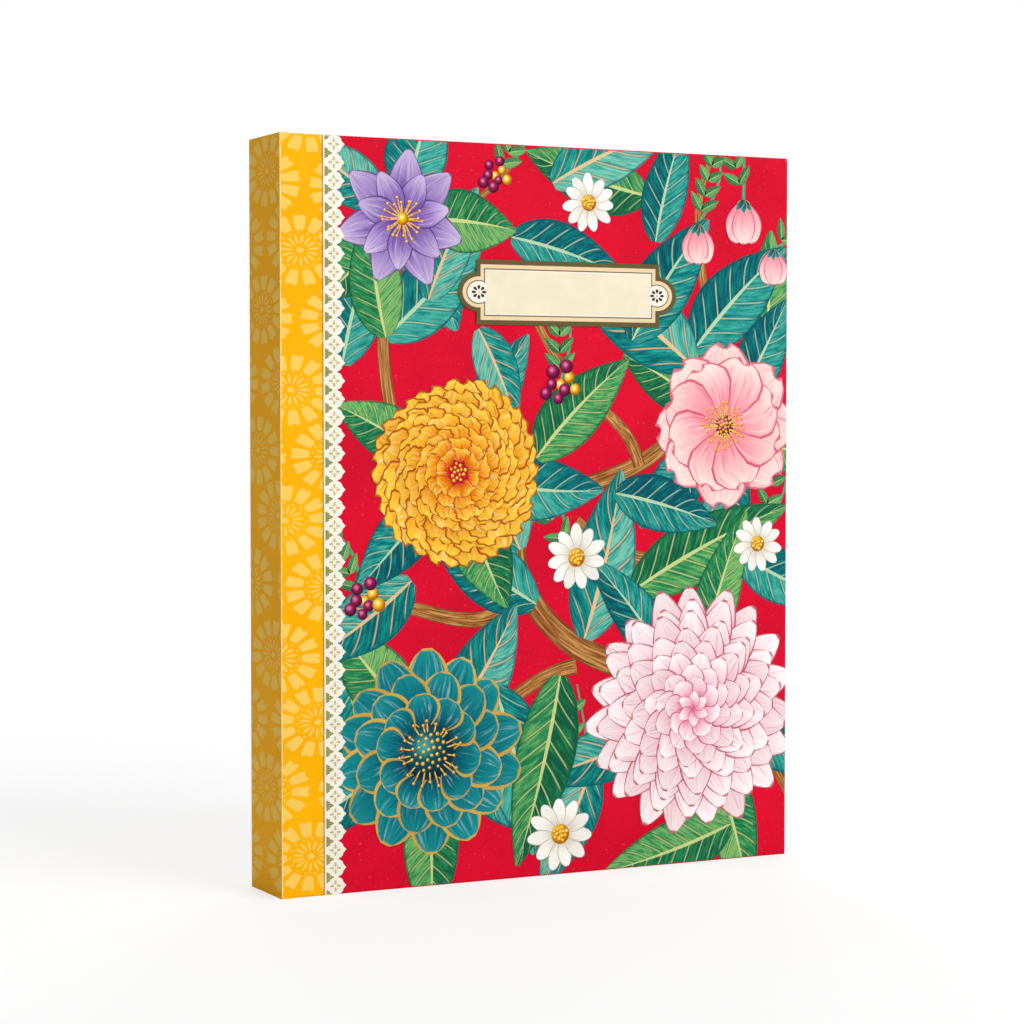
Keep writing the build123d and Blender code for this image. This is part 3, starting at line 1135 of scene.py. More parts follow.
def tooth(radius, angle):
    """An outer petal of a rosette: wider outwards, narrowed at both ends and dented in its outer edge."""

    def place(u, v):
        half = radius * (TOOTH_HALF + TOOTH_FLARE * v) * (1 - TOOTH_ROUND * abs(2 * v - 1) ** 6)
        dent = TOOTH_DENT * v * max(0.0, 1 - 2.0 * abs(u))
        y = radius * (TOOTH_START + TOOTH_LENGTH * v - dent)
        return (*turned(ORIGIN, angle, u * half, y), 0)

    return place


def rosette(radius):
    """One wheel: a ring of teeth, spokes, a ring of beads and a hub."""
    ink = Ink()
    for index in range(ROSETTE_TEETH):
        ink.warp(6, 6, tooth(radius, 360 * index / ROSETTE_TEETH), ROSETTE_LEVEL)
    for index in range(ROSETTE_SPOKES):
        angle = 360 * index / ROSETTE_SPOKES
        base = turned(ORIGIN, angle, 0, SPOKE_START * radius)
        spoke = blade(base, angle, SPOKE_LENGTH * radius, SPOKE_WIDTH * radius, belly=1.3, fullness=0.5)
        ink.warp(2, 5, spoke, ROSETTE_LEVEL)
        bead = turned(ORIGIN, angle + 180 / ROSETTE_SPOKES, 0, BEAD_RING * radius)
        ink.disc(bead, BEAD * radius, ROSETTE_LEVEL, sides=8)
    ink.disc(ORIGIN, HUB * radius, ROSETTE_LEVEL, sides=14)
    return ink


def rosette_places(layout):
    """Places of the rosettes on the flat gold paper, in staggered rows: x is 0 at the front fold, y is up."""
    rng = random.Random(ROSETTE_SEED)
    across, up = layout["step"]
    wander_x, wander_y = ROSETTE_JITTER
    column_lift, row_lift = ROSETTE_LIFTS
    places = []
    for row in range(-1, int(HEIGHT / up) + 2):
        first = layout["start"][0] + across / 2 * (row % 2) + row * layout["drift"]
        for column in ROSETTE_COLUMNS:
            x = first + column * across + rng.uniform(-wander_x, wander_x)
            y = layout["start"][1] - row * up + rng.uniform(-wander_y, wander_y)
            lift = column_lift * (column % 2) + row_lift * (row % 3)
            places.append((x, y, rng.uniform(0, 360), lift))
    return places


def rosette_paper(name, matrix, body, fold, layout, low, high, slot):
    """The rosettes on one panel of the gold paper; fold is where the front fold lies on that panel."""
    ink = Ink()
    radius = size_mm("rosette")
    stretch = layout["stretch"]
    margin = radius * stretch
    spots = [
        place for place in rosette_places(layout) if low - margin < fold + stretch * place[0] < high + margin
    ]
    ink.stamp(rosette(radius), spots)
    ink.stretch(stretch)
    bmesh.ops.translate(ink.mesh, verts=ink.mesh.verts[:], vec=(fold, 0, 0))
    ink.trim((low, FOLD_KEEP), (high, HEIGHT - FOLD_KEEP))
    ink.piece(name, matrix, body, shared("rosette_ink"), slot)


def fold_wear_and_highlight(name, matrix, body, low, high):
    """Pale line where the paper is folded over the spine's edge: partly rubbed paper, partly a painted
    highlight.
    """
    rng = random.Random(WEAR_AND_HIGHLIGHT_SEED)
    line = Ink()
    ragged = [rng.uniform(*WEAR_AND_HIGHLIGHT_RAGGED) for _ in range(WEAR_AND_HIGHLIGHT_STEPS + 1)]

    # places the pale fold line, which is rubbed paper together with a painted highlight along the fold
    def rub(u, v):
        x = low + (high - low) * (u + 1) / 2 * ragged[round(v * WEAR_AND_HIGHLIGHT_STEPS)]
        return x, FOLD_KEEP + v * (HEIGHT - 2 * FOLD_KEEP), 0

    line.warp(1, WEAR_AND_HIGHLIGHT_STEPS, rub, WEAR_AND_HIGHLIGHT_LEVEL)
    line.piece(name, matrix, body, shared("fold_wear_and_highlight"))


# Botanical print: flowers drawn round the origin, then laid with leaves and branches in loose sprays


def petal_width(outer, count, overlap):
    """Width at which a ring of petals just closes, times an overlap."""
    return 2 * math.pi * outer / count * overlap


def ring(ink, rng, colour, row, count, inner, outer, width, turn=0.0, **shape):
    """A ring of petals that overlap one way round; row counts the rings from the lowest."""
    for index in range(count):
        angle = turn + 360 * index / count + rng.uniform(-PETAL_JITTER, PETAL_JITTER) * 360 / count
        base = turned(ORIGIN, angle, 0, inner)
        length = (outer - inner) * rng.uniform(*PETAL_REACH)
        place = blade(base, angle, length, width, tilt=PETAL_TILT, **shape)
        ink.warp(*PETAL_GRID, place, BLOOM_LEVEL + PETAL_RISE * row, colour, rng.uniform(*PETAL_TINT))


def full_bloom(
    ink, rng, colour, radius, rings, fewest, more, heart, foot, overlap, half_step, swirl, **shape
):
    """Rings of petals that close towards the middle; heart and foot are shares of the reach."""
    for row in range(rings):
        share = 1 - row / rings
        count = round(fewest + more * share)
        outer = radius * (heart + (1 - heart) * share)
        turn = row * (half_step * 180 / count + swirl)
        width = petal_width(outer, count, overlap)
        ring(ink, rng, colour, row, count, foot * outer, outer, width, turn, **shape)


def seed_heads(ink, rng, far, count, level, size):
    """Small dots packed into a flower's centre in a sunflower spiral."""
    for index in range(count):
        spot = turned(ORIGIN, GOLDEN_ANGLE * index, 0, far * math.sqrt((index + 0.5) / count))
        lift = BLOOM_LEVEL + level + SEED_RISE * index
        ink.disc(spot, size * rng.uniform(*SEED_SPREAD), lift, GOLD_DOT, sides=10)


def stamens(ink, rng, inner, outer, count, level):
    """Fine filaments, each with a tip."""
    for index in range(count):
        angle = 360 * index / count + rng.uniform(-STAMEN_JITTER, STAMEN_JITTER)
        far = outer * rng.uniform(*STAMEN_REACH)
        filament = blade(turned(ORIGIN, angle, 0, inner), angle, far - inner, STAMEN_WIDTH, fullness=0.5)
        lift = BLOOM_LEVEL + level + STAMEN_RISE * index
        ink.warp(2, 4, filament, lift, STAMEN, tint=0.8)
        tip = turned(ORIGIN, angle, 0, far)
        ink.disc(tip, STAMEN_TIP, lift + STAMEN_TIP_LIFT, GOLD_DOT, sides=10)


def dahlia(ink, radius, rng):
    """Many rings of cupped pointed petals round a closed heart."""
    rings = 8
    full_bloom(
        ink, rng, BLUSH, radius, rings, fewest=7, more=12, heart=0.16, foot=0.3, overlap=1.02,
        half_step=1, swirl=11, belly=1.05, fullness=0.72,
    )
    ring(ink, rng, BLUSH, rings, count=6, inner=0, outer=0.15 * radius, width=0.11 * radius, belly=0.9)


def marigold(ink, radius, rng):
    """Rings of short frilled petals."""
    rings = 7
    full_bloom(
        ink, rng, ORANGE, radius, rings, fewest=6, more=11, heart=0.14, foot=0.42, overlap=1.35,
        half_step=0, swirl=23, belly=1.5, fullness=0.5, notch=0.1, frill=0.07,
    )
    seed_heads(ink, rng, far=0.1 * radius, count=14, level=PETAL_RISE * rings, size=0.4)


def zinnia(ink, radius, rng):
    """Three rows of gold-rimmed petals round a beaded eye."""
    for row, (count, share) in enumerate(((14, 1.0), (12, 0.8), (10, 0.58))):
        outer = radius * share
        width = petal_width(outer, count, overlap=1.05)
        ring(
            ink, rng, TEAL, row, count, inner=0.24 * radius, outer=outer, width=width, turn=13 * row,
            belly=1.25, fullness=0.55,
        )
    ink.disc(ORIGIN, radius=0.27 * radius, level=BLOOM_LEVEL + 4, ink=TEAL_DOT, sides=28)
    stamens(ink, rng, inner=0.2 * radius, outer=0.34 * radius, count=22, level=4.6)
    seed_heads(ink, rng, far=0.2 * radius, count=30, level=5.8, size=0.42)


def cosmos(ink, radius, rng):
    """Two rings of eight broad notched petals."""
    for row, (share, turn) in enumerate(((1.0, 0), (0.86, 22))):
        ring(
            ink, rng, PINK, row, count=8, inner=0.06 * radius, outer=share * radius, width=0.74 * radius,
            turn=turn, belly=1.5, fullness=0.6, notch=0.08, frill=0.025,
        )
    ink.disc(ORIGIN, radius=0.13 * radius, level=BLOOM_LEVEL + 3, ink=PLUM_DOT, sides=24)
    stamens(ink, rng, inner=0.1 * radius, outer=0.3 * radius, count=26, level=3.4)
    seed_heads(ink, rng, far=0.11 * radius, count=18, level=4.6, size=0.36)


def clematis(ink, radius, rng):
    """Two rings of seven long pointed petals round a gold eye."""
    inner = 0.08 * radius
    ring(ink, rng, VIOLET, 0, 7, inner, outer=radius, width=0.56 * radius, belly=0.85, fullness=0.85)
    ring(ink, rng, VIOLET, 1, 7, inner, outer=0.72 * radius, width=0.4 * radius, turn=26, belly=0.85)
    stamens(ink, rng, inner=0.05 * radius, outer=0.3 * radius, count=22, level=2.6)
    ink.disc(ORIGIN, radius=0.09 * radius, level=BLOOM_LEVEL + 3.8, ink=GOLD_DOT)


def daisy(ink, radius, rng):
    """A small white flower."""
    ring(
        ink, rng, WHITE, 0, count=11, inner=0.16 * radius, outer=radius, width=0.42 * radius,
        belly=1.2, fullness=0.6,
    )
    ink.disc(ORIGIN, radius=0.28 * radius, level=BLOOM_LEVEL + 1.3, ink=GOLD_DOT, sides=18)
    seed_heads(ink, rng, far=0.22 * radius, count=12, level=1.7, size=0.07 * radius)


def bellflower(ink, radius, rng):
    """A hanging bell of three petals under a small cap."""
    for index, lean in enumerate((-20, 20, 0)):
        petal = blade(
            ORIGIN, 180 + lean, length=2 * radius, width=1.25 * radius, belly=1.35, fullness=0.62,
            bend=-0.004 * lean,
        )
        ink.warp(*PETAL_GRID, petal, BLOOM_LEVEL + 0.8 * index, PINK, rng.uniform(0.5, 1.0))
    for lean in (-42, 0, 42):
        sepal = blade(ORIGIN, 180 + lean, length=0.6 * radius, width=0.34 * radius)
        ink.warp(4, 6, sepal, BLOOM_LEVEL + 2.6 + lean / 90, TEAL, tint=0.9)


def berries(ink, radius, rng):
    """A loose cluster of berries, one in three of them gold."""
    count = 9
    for index in range(count):
        spot = turned(ORIGIN, BERRY_TURN * index, 0, radius * math.sqrt(index / count))
        colour = PLUM_DOT if index % 3 else GOLD_DOT
        ink.disc(spot, radius * rng.uniform(0.27, 0.36), BLOOM_LEVEL + 0.2 * index, colour)


BLOOMS = {
    "dahlia": dahlia, "marigold": marigold, "zinnia": zinnia, "cosmos": cosmos,
    "clematis": clematis, "daisy": daisy, "bellflower": bellflower, "berries": berries,
}


def ruff(blooms, rng):
    """Leaves that stand out behind each large flower, listed as the single leaves are."""
    leaves = []
    for _, x, y, radius in blooms:
        if radius < LARGE_BLOOM:
            continue
        first = rng.uniform(0, 360)
        for index in range(RUFF_LEAVES):
            angle = first + 360 / RUFF_LEAVES * index + rng.uniform(-RUFF_JITTER, RUFF_JITTER)
            base = turned((x, y), angle, 0, RUFF_START * radius)
            length = radius * rng.uniform(*RUFF_REACH)
            width = RUFF_WIDTH * rng.uniform(*RUFF_WIDENING)
            sway = rng.uniform(-RUFF_SWAY, RUFF_SWAY)
            leaves.append((*base, angle, length, width, sway, index % len(LEAF_INKS)))
    return leaves


def leaf_spray(ink, leaves, rng):
    """Draws leaves that take turns on a few levels, with a small rise each time round."""
    longer, wider = LEAF_GROWTH
    for index, (x, y, angle, length, width, sway, kind) in enumerate(leaves):
        lap = index // LEAF_LEVELS
        level = LEAF_LEVEL + index % LEAF_LEVELS + LAP_RISES[0] * (lap % 3) + LAP_RISES[1] * (lap // 3)
        place = blade((x, y), angle, longer * length, wider * width, belly=0.78, fullness=0.85, bend=sway)
        ink.warp(10, 18, place, level, kind, rng.uniform(*LEAF_TINT))


def sprigs(wood, green, blooms, rng):
    """Fine twigs with paired leaflets that fill the ground beside the small flowers."""
    for kind, x, y, radius in blooms:
        if kind not in SPRIG_KINDS:
            continue
        angle = rng.uniform(-SPRIG_LEAN, SPRIG_LEAN)
        length = SPRIG_GROWTH * radius + SPRIG_LENGTH
        tip = turned((x, y), angle, 0, length)
        middle = turned((x, y), angle + SPRIG_SWAY, 0, length * SPRIG_MIDDLE)
        handles = ((x, y), middle, middle, tip)
        stem(wood, handles, *SPRIG_WIDTHS, TWIG_LEVEL, TWIG, rng.uniform(*SPRIG_TINT))
        for index in range(1, SPRIG_LEAFLETS):
            share = index / SPRIG_LEAFLETS
            spot = (x + (tip[0] - x) * share, y + (tip[1] - y) * share)
            for lean in (-LEAFLET_LEAN, LEAFLET_LEAN):
                reach_out = LEAFLET_LENGTH - LEAFLET_SHORTENING * index
                leaflet = blade(spot, angle + lean, reach_out, LEAFLET_WIDTH)
                level = LEAFLET_LEVEL + LEAFLET_RISE * index
                green.warp(4, 8, leaflet, level, GREEN_LEAF, rng.uniform(*LEAF_TINT))


def botanical(prefix, matrix, body, blooms, leaves, branches, low, high, seed):
    """Lays branches, leaves and flowers over one cover."""
    rng = random.Random(seed)
    wood, green, bloom = Ink(), Ink(), Ink()
    for index, (*points, start, end) in enumerate(branches):
        stem(wood, points, start, end, BRANCH_LEVEL + BRANCH_RISE * index, 0, rng.random())
    sprigs(wood, green, blooms, rng)
    leaf_spray(green, [*leaves, *ruff(blooms, rng)], rng)
    for index, (kind, x, y, radius) in enumerate(blooms):
        flower = Ink()
        BLOOMS[kind](flower, radius, rng)
        bloom.stamp(flower, [(x, y, 0, BLOOM_RISE * index)])
    layers = ((wood, "branches", BARK_INKS), (green, "leaves", LEAF_INKS), (bloom, "flowers", BLOOM_INKS))
    for ink, part, inks in layers:
        ink.trim(low, high)
        ink.piece(f"{prefix}_{part}", matrix, body, shared(*inks))


# Lace strip and label


def lace_edge(t):
    """How far the lace edge stands out, from 0 in a valley to 1 at a tip, as t runs over one tooth."""
    point = 1 - abs(2 * t - 1)
    scallop = abs(math.sin(LACE_SCALLOPS * math.pi * t))
    return LACE_POINT * point ** LACE_POINT_POWER + LACE_SCALLOP * scallop


def lace_repeat(across, pitch):
    """One repeat of the marks in the lace: a wedge of dots, and a cross with beads in the next tooth."""
    repeat = Ink()
    level = STRIP_LEVEL + 1
    strip = size_mm("strip")
    step_x, step_y = LACE_DOT_STEP
    for column, dots in enumerate(LACE_DOT_COLUMNS):
        x = across(strip + step_x * (column + 1))
        for dot in range(dots):
            lift = LACE_DOT_RISE * ((dot + 2 * column) % 5)
            repeat.disc((x, (dot - (dots - 1) / 2) * step_y), LACE_DOT, level + lift, sides=8)
    centre = (across(strip + CROSS_X), pitch / 2)
    for angle in (0, 90, 180, 270):
        base = turned(centre, angle, 0, CROSS_START)
        repeat.warp(2, 5, blade(base, angle, *CROSS_ARM, belly=1.1, fullness=0.6), level, ink=1)
    for angle in (45, 135, 225, 315):
        repeat.disc(turned(centre, angle, 0, CROSS_BEAD_RING), CROSS_BEAD, level, ink=1, sides=6)
    return repeat


def lace(prefix, matrix, body, mirrored):
    """Lace strip with a pointed edge, and the small marks woven into it."""
    start = size_mm("strip") - LACE_LAP
    valley, tip = size_mm("lace_valley"), size_mm("lace_tip")
    teeth = sizes().lace_teeth
    pitch = HEIGHT / teeth

    def across(x):
        return WIDTH - x if mirrored else x

    def weave(u, v):
        edge = valley + (tip - valley) * lace_edge((v * teeth) % 1.0)
        return across(start + (edge - start) * (u + 1) / 2), v * HEIGHT, 0

    ground = Ink()
    ground.warp(2, teeth * LACE_CUTS, weave, STRIP_LEVEL)
    ground.trim((FOLD_KEEP, FOLD_KEEP), (WIDTH - FOLD_KEEP, HEIGHT - FOLD_KEEP))
    ground.piece(f"{prefix}_lace", matrix, body, shared("lace_ink"))
    marks = Ink()
    marks.stamp(lace_repeat(across, pitch), [(0, index * pitch, 0, 0) for index in range(teeth + 1)])
    marks.trim((FOLD_KEEP, MARK_KEEP), (WIDTH - FOLD_KEEP, HEIGHT - MARK_KEEP))
    marks.piece(f"{prefix}_lace_marks", matrix, body, shared("lace_mark_ink", "lace_cross_ink"))


def label():
    """Bare title plate with round ends, each holding a small rosette."""
    left, right, foot, head = (size_mm(f"label_{side}") for side in ("left", "right", "foot", "head"))
    lobe = size_mm("label_lobe")
    mark = len(LABEL_LAYERS)
    top = LABEL_LEVEL + mark
    plate, ends = Ink(), Ink()
    for index, inset in enumerate(LABEL_LAYERS.values()):
        level = LABEL_LEVEL + index
        plate.bar((left + inset, foot + inset), (right - inset, head - inset), level, index)
        if index < mark - 1:
            ends.disc(ORIGIN, lobe - LOBE_SHRINK * inset, level + LOBE_LIFT, index, sides=48)
    for index in range(LOBE_PETALS):
        angle = 360 / LOBE_PETALS * index
        base = turned(ORIGIN, angle, 0, LOBE_PETAL_START)
        ends.warp(4, 6, blade(base, angle, *LOBE_PETAL, belly=1.7, fullness=0.55), top, mark)
    ends.disc(ORIGIN, LOBE_HUB, top, mark, sides=10)
    ends.stretch(LOBE_STRETCH)
    middle = (foot + head) / 2
    plate.stamp(ends, [(left + LOBE_SINK, middle, 0, 0), (right - LOBE_SINK, middle, 0, 0)])
    plate.piece("front_label", FRONT_SHEET, "front_cover", shared(*LABEL_LAYERS, "label_mark"))


# Leaves, letter tabs and the paper at the joints


def tab_foot(index):
    """Height of the foot of a section's tab."""
    return LEAF_HEAD_Z - (index + 1) * TAB_HEIGHT


def leaf_mesh(low, high, foot=None):
    """One leaf between two corners, cut back below foot where that is given, with cuts to bend along."""
    mesh = bmesh.new()
    bmesh.ops.create_grid(mesh, x_segments=2, y_segments=2, size=0.5)
    tab_x = high[0] - size_mm("tab")
    columns = (low[0], tab_x, high[0])
    rows = (low[2], low[2] + WHOLE_LEAF_ROW if foot is None else foot, high[2])
    for vert in mesh.verts:
        column, row = round(2 * vert.co.x) + 1, round(2 * vert.co.y) + 1
        vert.co = (columns[column], low[1], rows[row])
    if foot is not None:
        middles = {face: face.calc_center_median() for face in mesh.faces}
        spare = [face for face, middle in middles.items() if middle.x > tab_x and middle.z < foot]
        bmesh.ops.delete(mesh, geom=spare, context="FACES")
    bmesh.ops.dissolve_faces(mesh, faces=mesh.faces[:])
    made = bmesh.ops.extrude_face_region(mesh, geom=mesh.faces[:])["geom"]
    risen = [item for item in made if isinstance(item, bmesh.types.BMVert)]
    bmesh.ops.translate(mesh, verts=risen, vec=(0, high[1] - low[1], 0))
    if foot is not None:
        round_tab_foot(mesh, tab_x, foot)
    bmesh.ops.recalc_face_normals(mesh, faces=mesh.faces[:])
    for index in range(LEAF_BENDS + 1):
        x = GUTTER_X + size_mm("leaf_bend") * index / LEAF_BENDS
        bmesh.ops.bisect_plane(
            mesh, geom=everything(mesh), dist=CUT_SNAP, plane_co=(x, 0, 0), plane_no=(1, 0, 0)
        )
    return mesh


def round_tab_foot(mesh, tab_x, foot):
    """Rounds the two upright corners at the foot of a tab."""

    def at_foot(vert):
        return abs(vert.co.z - foot) < TOUCHING and vert.co.x > tab_x - 10 * TOUCHING

    corners = []
    for edge in mesh.edges:
        first, second = edge.verts
        through = abs(first.co.y - second.co.y) > TOUCHING
        if through and at_foot(first) and at_foot(second):
            corners.append(edge)
    bmesh.ops.bevel(
        mesh, geom=corners, offset=size_mm("tab_corner") * TAB_CORNER_SHARE, offset_type="OFFSET", segments=4,
        profile=0.5, affect="EDGES", material=-1,
    )


def leaf_stack(name, node, count, foot, materials):
    """Leaves in place of a node, lying on each other and bending beside their fold as they turn."""
    low, high = corner_mm(node)
    depth = (high.y - low.y - LEAF_GAP * (count - 1)) / count
    mesh = leaf_mesh((FOLD_END_X, low.y, low.z), (high.x, low.y + depth, high.z), foot)
    single = everything(mesh)
    for index in range(1, count):
        copy = bmesh.ops.duplicate(mesh, geom=single)["geom"]
        verts = [item for item in copy if isinstance(item, bmesh.types.BMVert)]
        bmesh.ops.translate(mesh, verts=verts, vec=(0, index * (depth + LEAF_GAP), 0))
    uv = mesh.loops.layers.uv.new("UVMap")
    bmesh.ops.transform(mesh, matrix=Matrix.Scale(MM, 4), verts=mesh.verts[:])
    for face in mesh.faces:
        face.normal_update()
        is_page = abs(face.normal.y) > PAGE_FACING
        face.material_index = 0 if is_page else 1
        for loop in face.loops:
            loop[uv].uv = ((loop.vert.co.x - GUTTER_X * MM) / UV_SPAN, loop.vert.co.z / UV_SPAN)
    piece = settle(name, mesh, materials)
    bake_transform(piece)
    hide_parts(node)


def letter_mesh(text):
    """Capital letters as a flat outline, centred on their own middle."""
    curve = bpy.data.curves.new("letter", "FONT")
    curve.body = text
    curve.size = LETTER_HEIGHT if len(text) == 1 else LETTERS_HEIGHT
    curve.align_x = "CENTER"
    curve.align_y = "CENTER"
    curve.resolution_u = 3
    holder = bpy.data.objects.new("letter", curve)
    bpy.context.scene.collection.objects.link(holder)
    bpy.context.view_layer.update()
    mesh = bpy.data.meshes.new_from_object(holder)
    bpy.data.objects.remove(holder)
    bpy.data.curves.remove(curve)
    return mesh


def letter_tab(index, name):
    """Coloured tab with its letter, printed on the first page of a section."""
    page_y = corner_mm(f"section_{name}")[0].y
    depth = size_mm("tab")
    corner = size_mm("tab_corner")
    matrix = sheet_matrix((LEAF_FORE_X - depth, page_y, tab_foot(index)), (1, 0, 0))
    ink = Ink()

    def patch(u, v):
        y = TAB_INSET + v * (TAB_HEIGHT - 2 * TAB_INSET)
        near = max(0.0, corner - min(y, TAB_HEIGHT - y))
        rounding = corner - math.sqrt(max(corner ** 2 - near ** 2, 0))
        far = depth - TAB_FORE_KEEP - rounding
        return TAB_INSET + (far - TAB_INSET) * (u + 1) / 2, y, 0

    ink.warp(2, TAB_CUTS, patch, TAB_LEVEL)
    letters = letter_mesh(name.upper())
    ink.outline(letters, (depth / 2, TAB_HEIGHT / 2), LETTER_LEVEL, ink=1)
    bpy.data.meshes.remove(letters)
    colour = list(TAB_INKS)[index % len(TAB_INKS)]
    ink.piece(f"tab_{name}", matrix, f"leaves_{name}", shared(colour, "tab_letter"), "leaf_paper")


def endpaper_fold(side, turn):
    """The bend of an endpaper from pastedown to first fold, which closes the joint as the cover opens."""
    pastedown = corner_mm(f"{side}_pastedown")
    flyleaf = corner_mm(f"{side}_flyleaf")
    inner, outer = (1, 0) if turn > 0 else (0, 1)
    cover_x = pastedown[0].x + PASTEDOWN_LAP
    cover_y = pastedown[inner].y + turn * PASTEDOWN_LIFT
    fold_x = FOLD_X - FOLD_BACK
    fold_y = flyleaf[outer].y + turn * FLYLEAF_LIFT
    mesh = bmesh.new()
    mesh.loops.layers.uv.new("UVMap")
    bmesh.ops.create_grid(mesh, x_segments=FOLD_GRID[0], y_segments=FOLD_GRID[1], size=0.5, calc_uvs=True)
    for vert in mesh.verts:
        share, up = vert.co.x + 0.5, vert.co.y + 0.5
        x = cover_x + share * (fold_x - cover_x)
        y = cover_y + share * (fold_y - cover_y)
        vert.co = (x, y, LEAF_TAIL_Z + up * (LEAF_HEAD_Z - LEAF_TAIL_Z))
    bmesh.ops.solidify(mesh, geom=mesh.faces[:], thickness=-turn * BEND_SKIN)
    bmesh.ops.recalc_face_normals(mesh, faces=mesh.faces[:])
    bmesh.ops.transform(mesh, matrix=Matrix.Scale(MM, 4), verts=mesh.verts[:])
    piece = settle(f"{side}_endpaper_fold", mesh, shared("endpaper_leaf"))
    for polygon in piece.data.polygons:
        polygon.use_smooth = True
    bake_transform(piece)


def joint_paper(name, body, material, x, sides):
    """Turn-ins over the bare board edges at a joint, at head and tail, which show as the cover opens."""
    mesh = bmesh.new()
    outer = corner_mm("front_board")[0].y
    inner = corner_mm("front_flyleaf")[0].y
    size = (JOINT_PAPER, abs(outer - inner) - 2 * BARE_EDGE, TURN_IN)
    for side in sides:
        for foot in (BARE_EDGE, HEIGHT - BARE_EDGE - TURN_IN):
            made = bmesh.ops.create_cube(mesh, size=1.0)["verts"]
            bmesh.ops.scale(mesh, verts=made, vec=size)
            bmesh.ops.translate(mesh, verts=made, vec=(x, side * (outer + inner) / 2, foot + TURN_IN / 2))
    bmesh.ops.transform(mesh, matrix=Matrix.Scale(MM, 4), verts=mesh.verts[:])
    settle(name, mesh, [material], body)


# Stage


def seen_directly(graph):
    """1 for what the camera sees, plain, mirrored or through glass, and 0 for light on the book."""
    path = graph.node("ShaderNodeLightPath").outputs
    plain, mirrored, through = (
        Signal(graph, path[f"Is {ray} Ray"]) for ray in ("Camera", "Glossy", "Transmission")
    )
    return most(plain, most(mirrored, through))


def floor():
    """A pale floor that keeps the book's shadow and otherwise renders white."""
    material = bpy.data.materials.new("floor_white")
    material.use_nodes = True
    graph = Graph(material.node_tree)
    nodes = graph.tree.nodes
    nodes.remove(nodes["Principled BSDF"])
    white = {"Color": grey(1.0), "Strength": 1.0}
    plain = graph.signal("ShaderNodeBsdfDiffuse", {"Color": grey(FLOOR_TONE)})
    shaded = graph.signal("ShaderNodeBsdfDiffuse", {"Color": grey(SHADOW_TONE)})
    glow = graph.signal("ShaderNodeEmission", {**white, "Strength": SHADOW_GLOW})
    near = graph.signal("ShaderNodeAddShader", {0: shaded, 1: glow})
    far = graph.signal("ShaderNodeEmission", white)
    x, y, _ = graph.split(graph.place())
    fade = graph.rise(reach(x, y), *SHADOW_REACH)
    shown = graph.signal("ShaderNodeMixShader", {0: fade, 1: near, 2: far})
    pick = graph.signal("ShaderNodeMixShader", {0: seen_directly(graph), 1: plain, 2: shown})
    graph.feed(nodes["Material Output"].inputs["Surface"], pick)
    mesh = bmesh.new()
    bmesh.ops.create_grid(mesh, x_segments=1, y_segments=1, size=FLOOR_REACH)
    ground = settle("floor", mesh, [material])


def sky():
    """White backdrop, and a weaker even light from all round on the book."""
    world = bpy.data.worlds.new("studio")
    bpy.context.scene.world = world
    world.use_nodes = True
    graph = Graph(world.node_tree)
    backdrop = graph.tree.nodes["Background"].inputs
    graph.feed(backdrop["Color"], grey(1.0))
    graph.feed(backdrop["Strength"], graph.spread(seen_directly(graph), AMBIENT, 1.0))


def lights():
    """Two large soft lamps on the fore-edge side, the stronger in front and the other behind."""
    aim = Vector((0, 0, HEIGHT * MM / 2))
    for name, place, size, power in LAMPS:
        lamp = bpy.data.lights.new(name, "AREA")
        lamp.energy = power
        lamp.size = size
        holder = bpy.data.objects.new(name, lamp)
        holder.location = place
        holder.rotation_euler = (aim - Vector(place)).to_track_quat("-Z", "Y").to_euler()
        bpy.context.scene.collection.objects.link(holder)


def camera():
    """The camera, at the photograph's angle."""
    lens = bpy.data.cameras.new("camera")
    lens.lens = sizes().camera_lens
    lens.sensor_width = CAMERA_SENSOR
    lens.clip_start = CAMERA_NEAR
    holder = bpy.data.objects.new("camera", lens)
    turn, rise = math.radians(CAMERA_AZIMUTH), math.radians(CAMERA_ELEVATION)
    back = Vector((math.sin(turn) * math.cos(rise), -math.cos(turn) * math.cos(rise), math.sin(rise)))
    target = Vector((SPINE_X + CAMERA_TARGET[0], FRONT_Y, CAMERA_TARGET[1])) * MM
    holder.location = target + back * sizes().camera_distance
    holder.rotation_euler = (-back).to_track_quat("-Z", "Y").to_euler()
    bpy.context.scene.collection.objects.link(holder)
    bpy.context.scene.camera = holder


# Operators


class ADDRESSBOOK_OT_inks(bpy.types.Operator):
    """Mix the printing inks"""

    bl_idname = "address_book.inks"
    bl_label = "Inks"
    bl_options = {"REGISTER", "UNDO"}

    def execute(self, context):
        mix_inks()
        return {"FINISHED"}


class ADDRESSBOOK_OT_case(bpy.types.Operator):
    """Finish the boards, the cover paper and the pastedowns"""

    bl_idname = "address_book.case"
    bl_label = "Case"
    bl_options = {"REGISTER", "UNDO"}

    def execute(self, context):
        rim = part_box("spine_board")[1].y - RIM_DEPTH * MM
        board_look = (srgb(*BOARD_GREY), BOARD_FLECK, BOARD_GRAIN)
        board = paper_finish("grey_board", *board_look)
        spine_board = paper_finish("spine_board_edge", *board_look, rim)
        endpaper = paper_finish("endpaper_sheet", colours().endpaper, ENDPAPER_FLECK)
        cover = cover_finish()
        finishes = {
            "spine_cover_paper": spine_finish(),
            "spine_board": spine_board,
            "endpaper_tips": endpaper,
        }
        for side in ("front", "back"):
            finishes[f"{side}_cover_paper"] = cover
            finishes[f"{side}_board"] = board
            finishes[f"{side}_pastedown"] = endpaper
        dress_nodes(finishes)
        return {"FINISHED"}


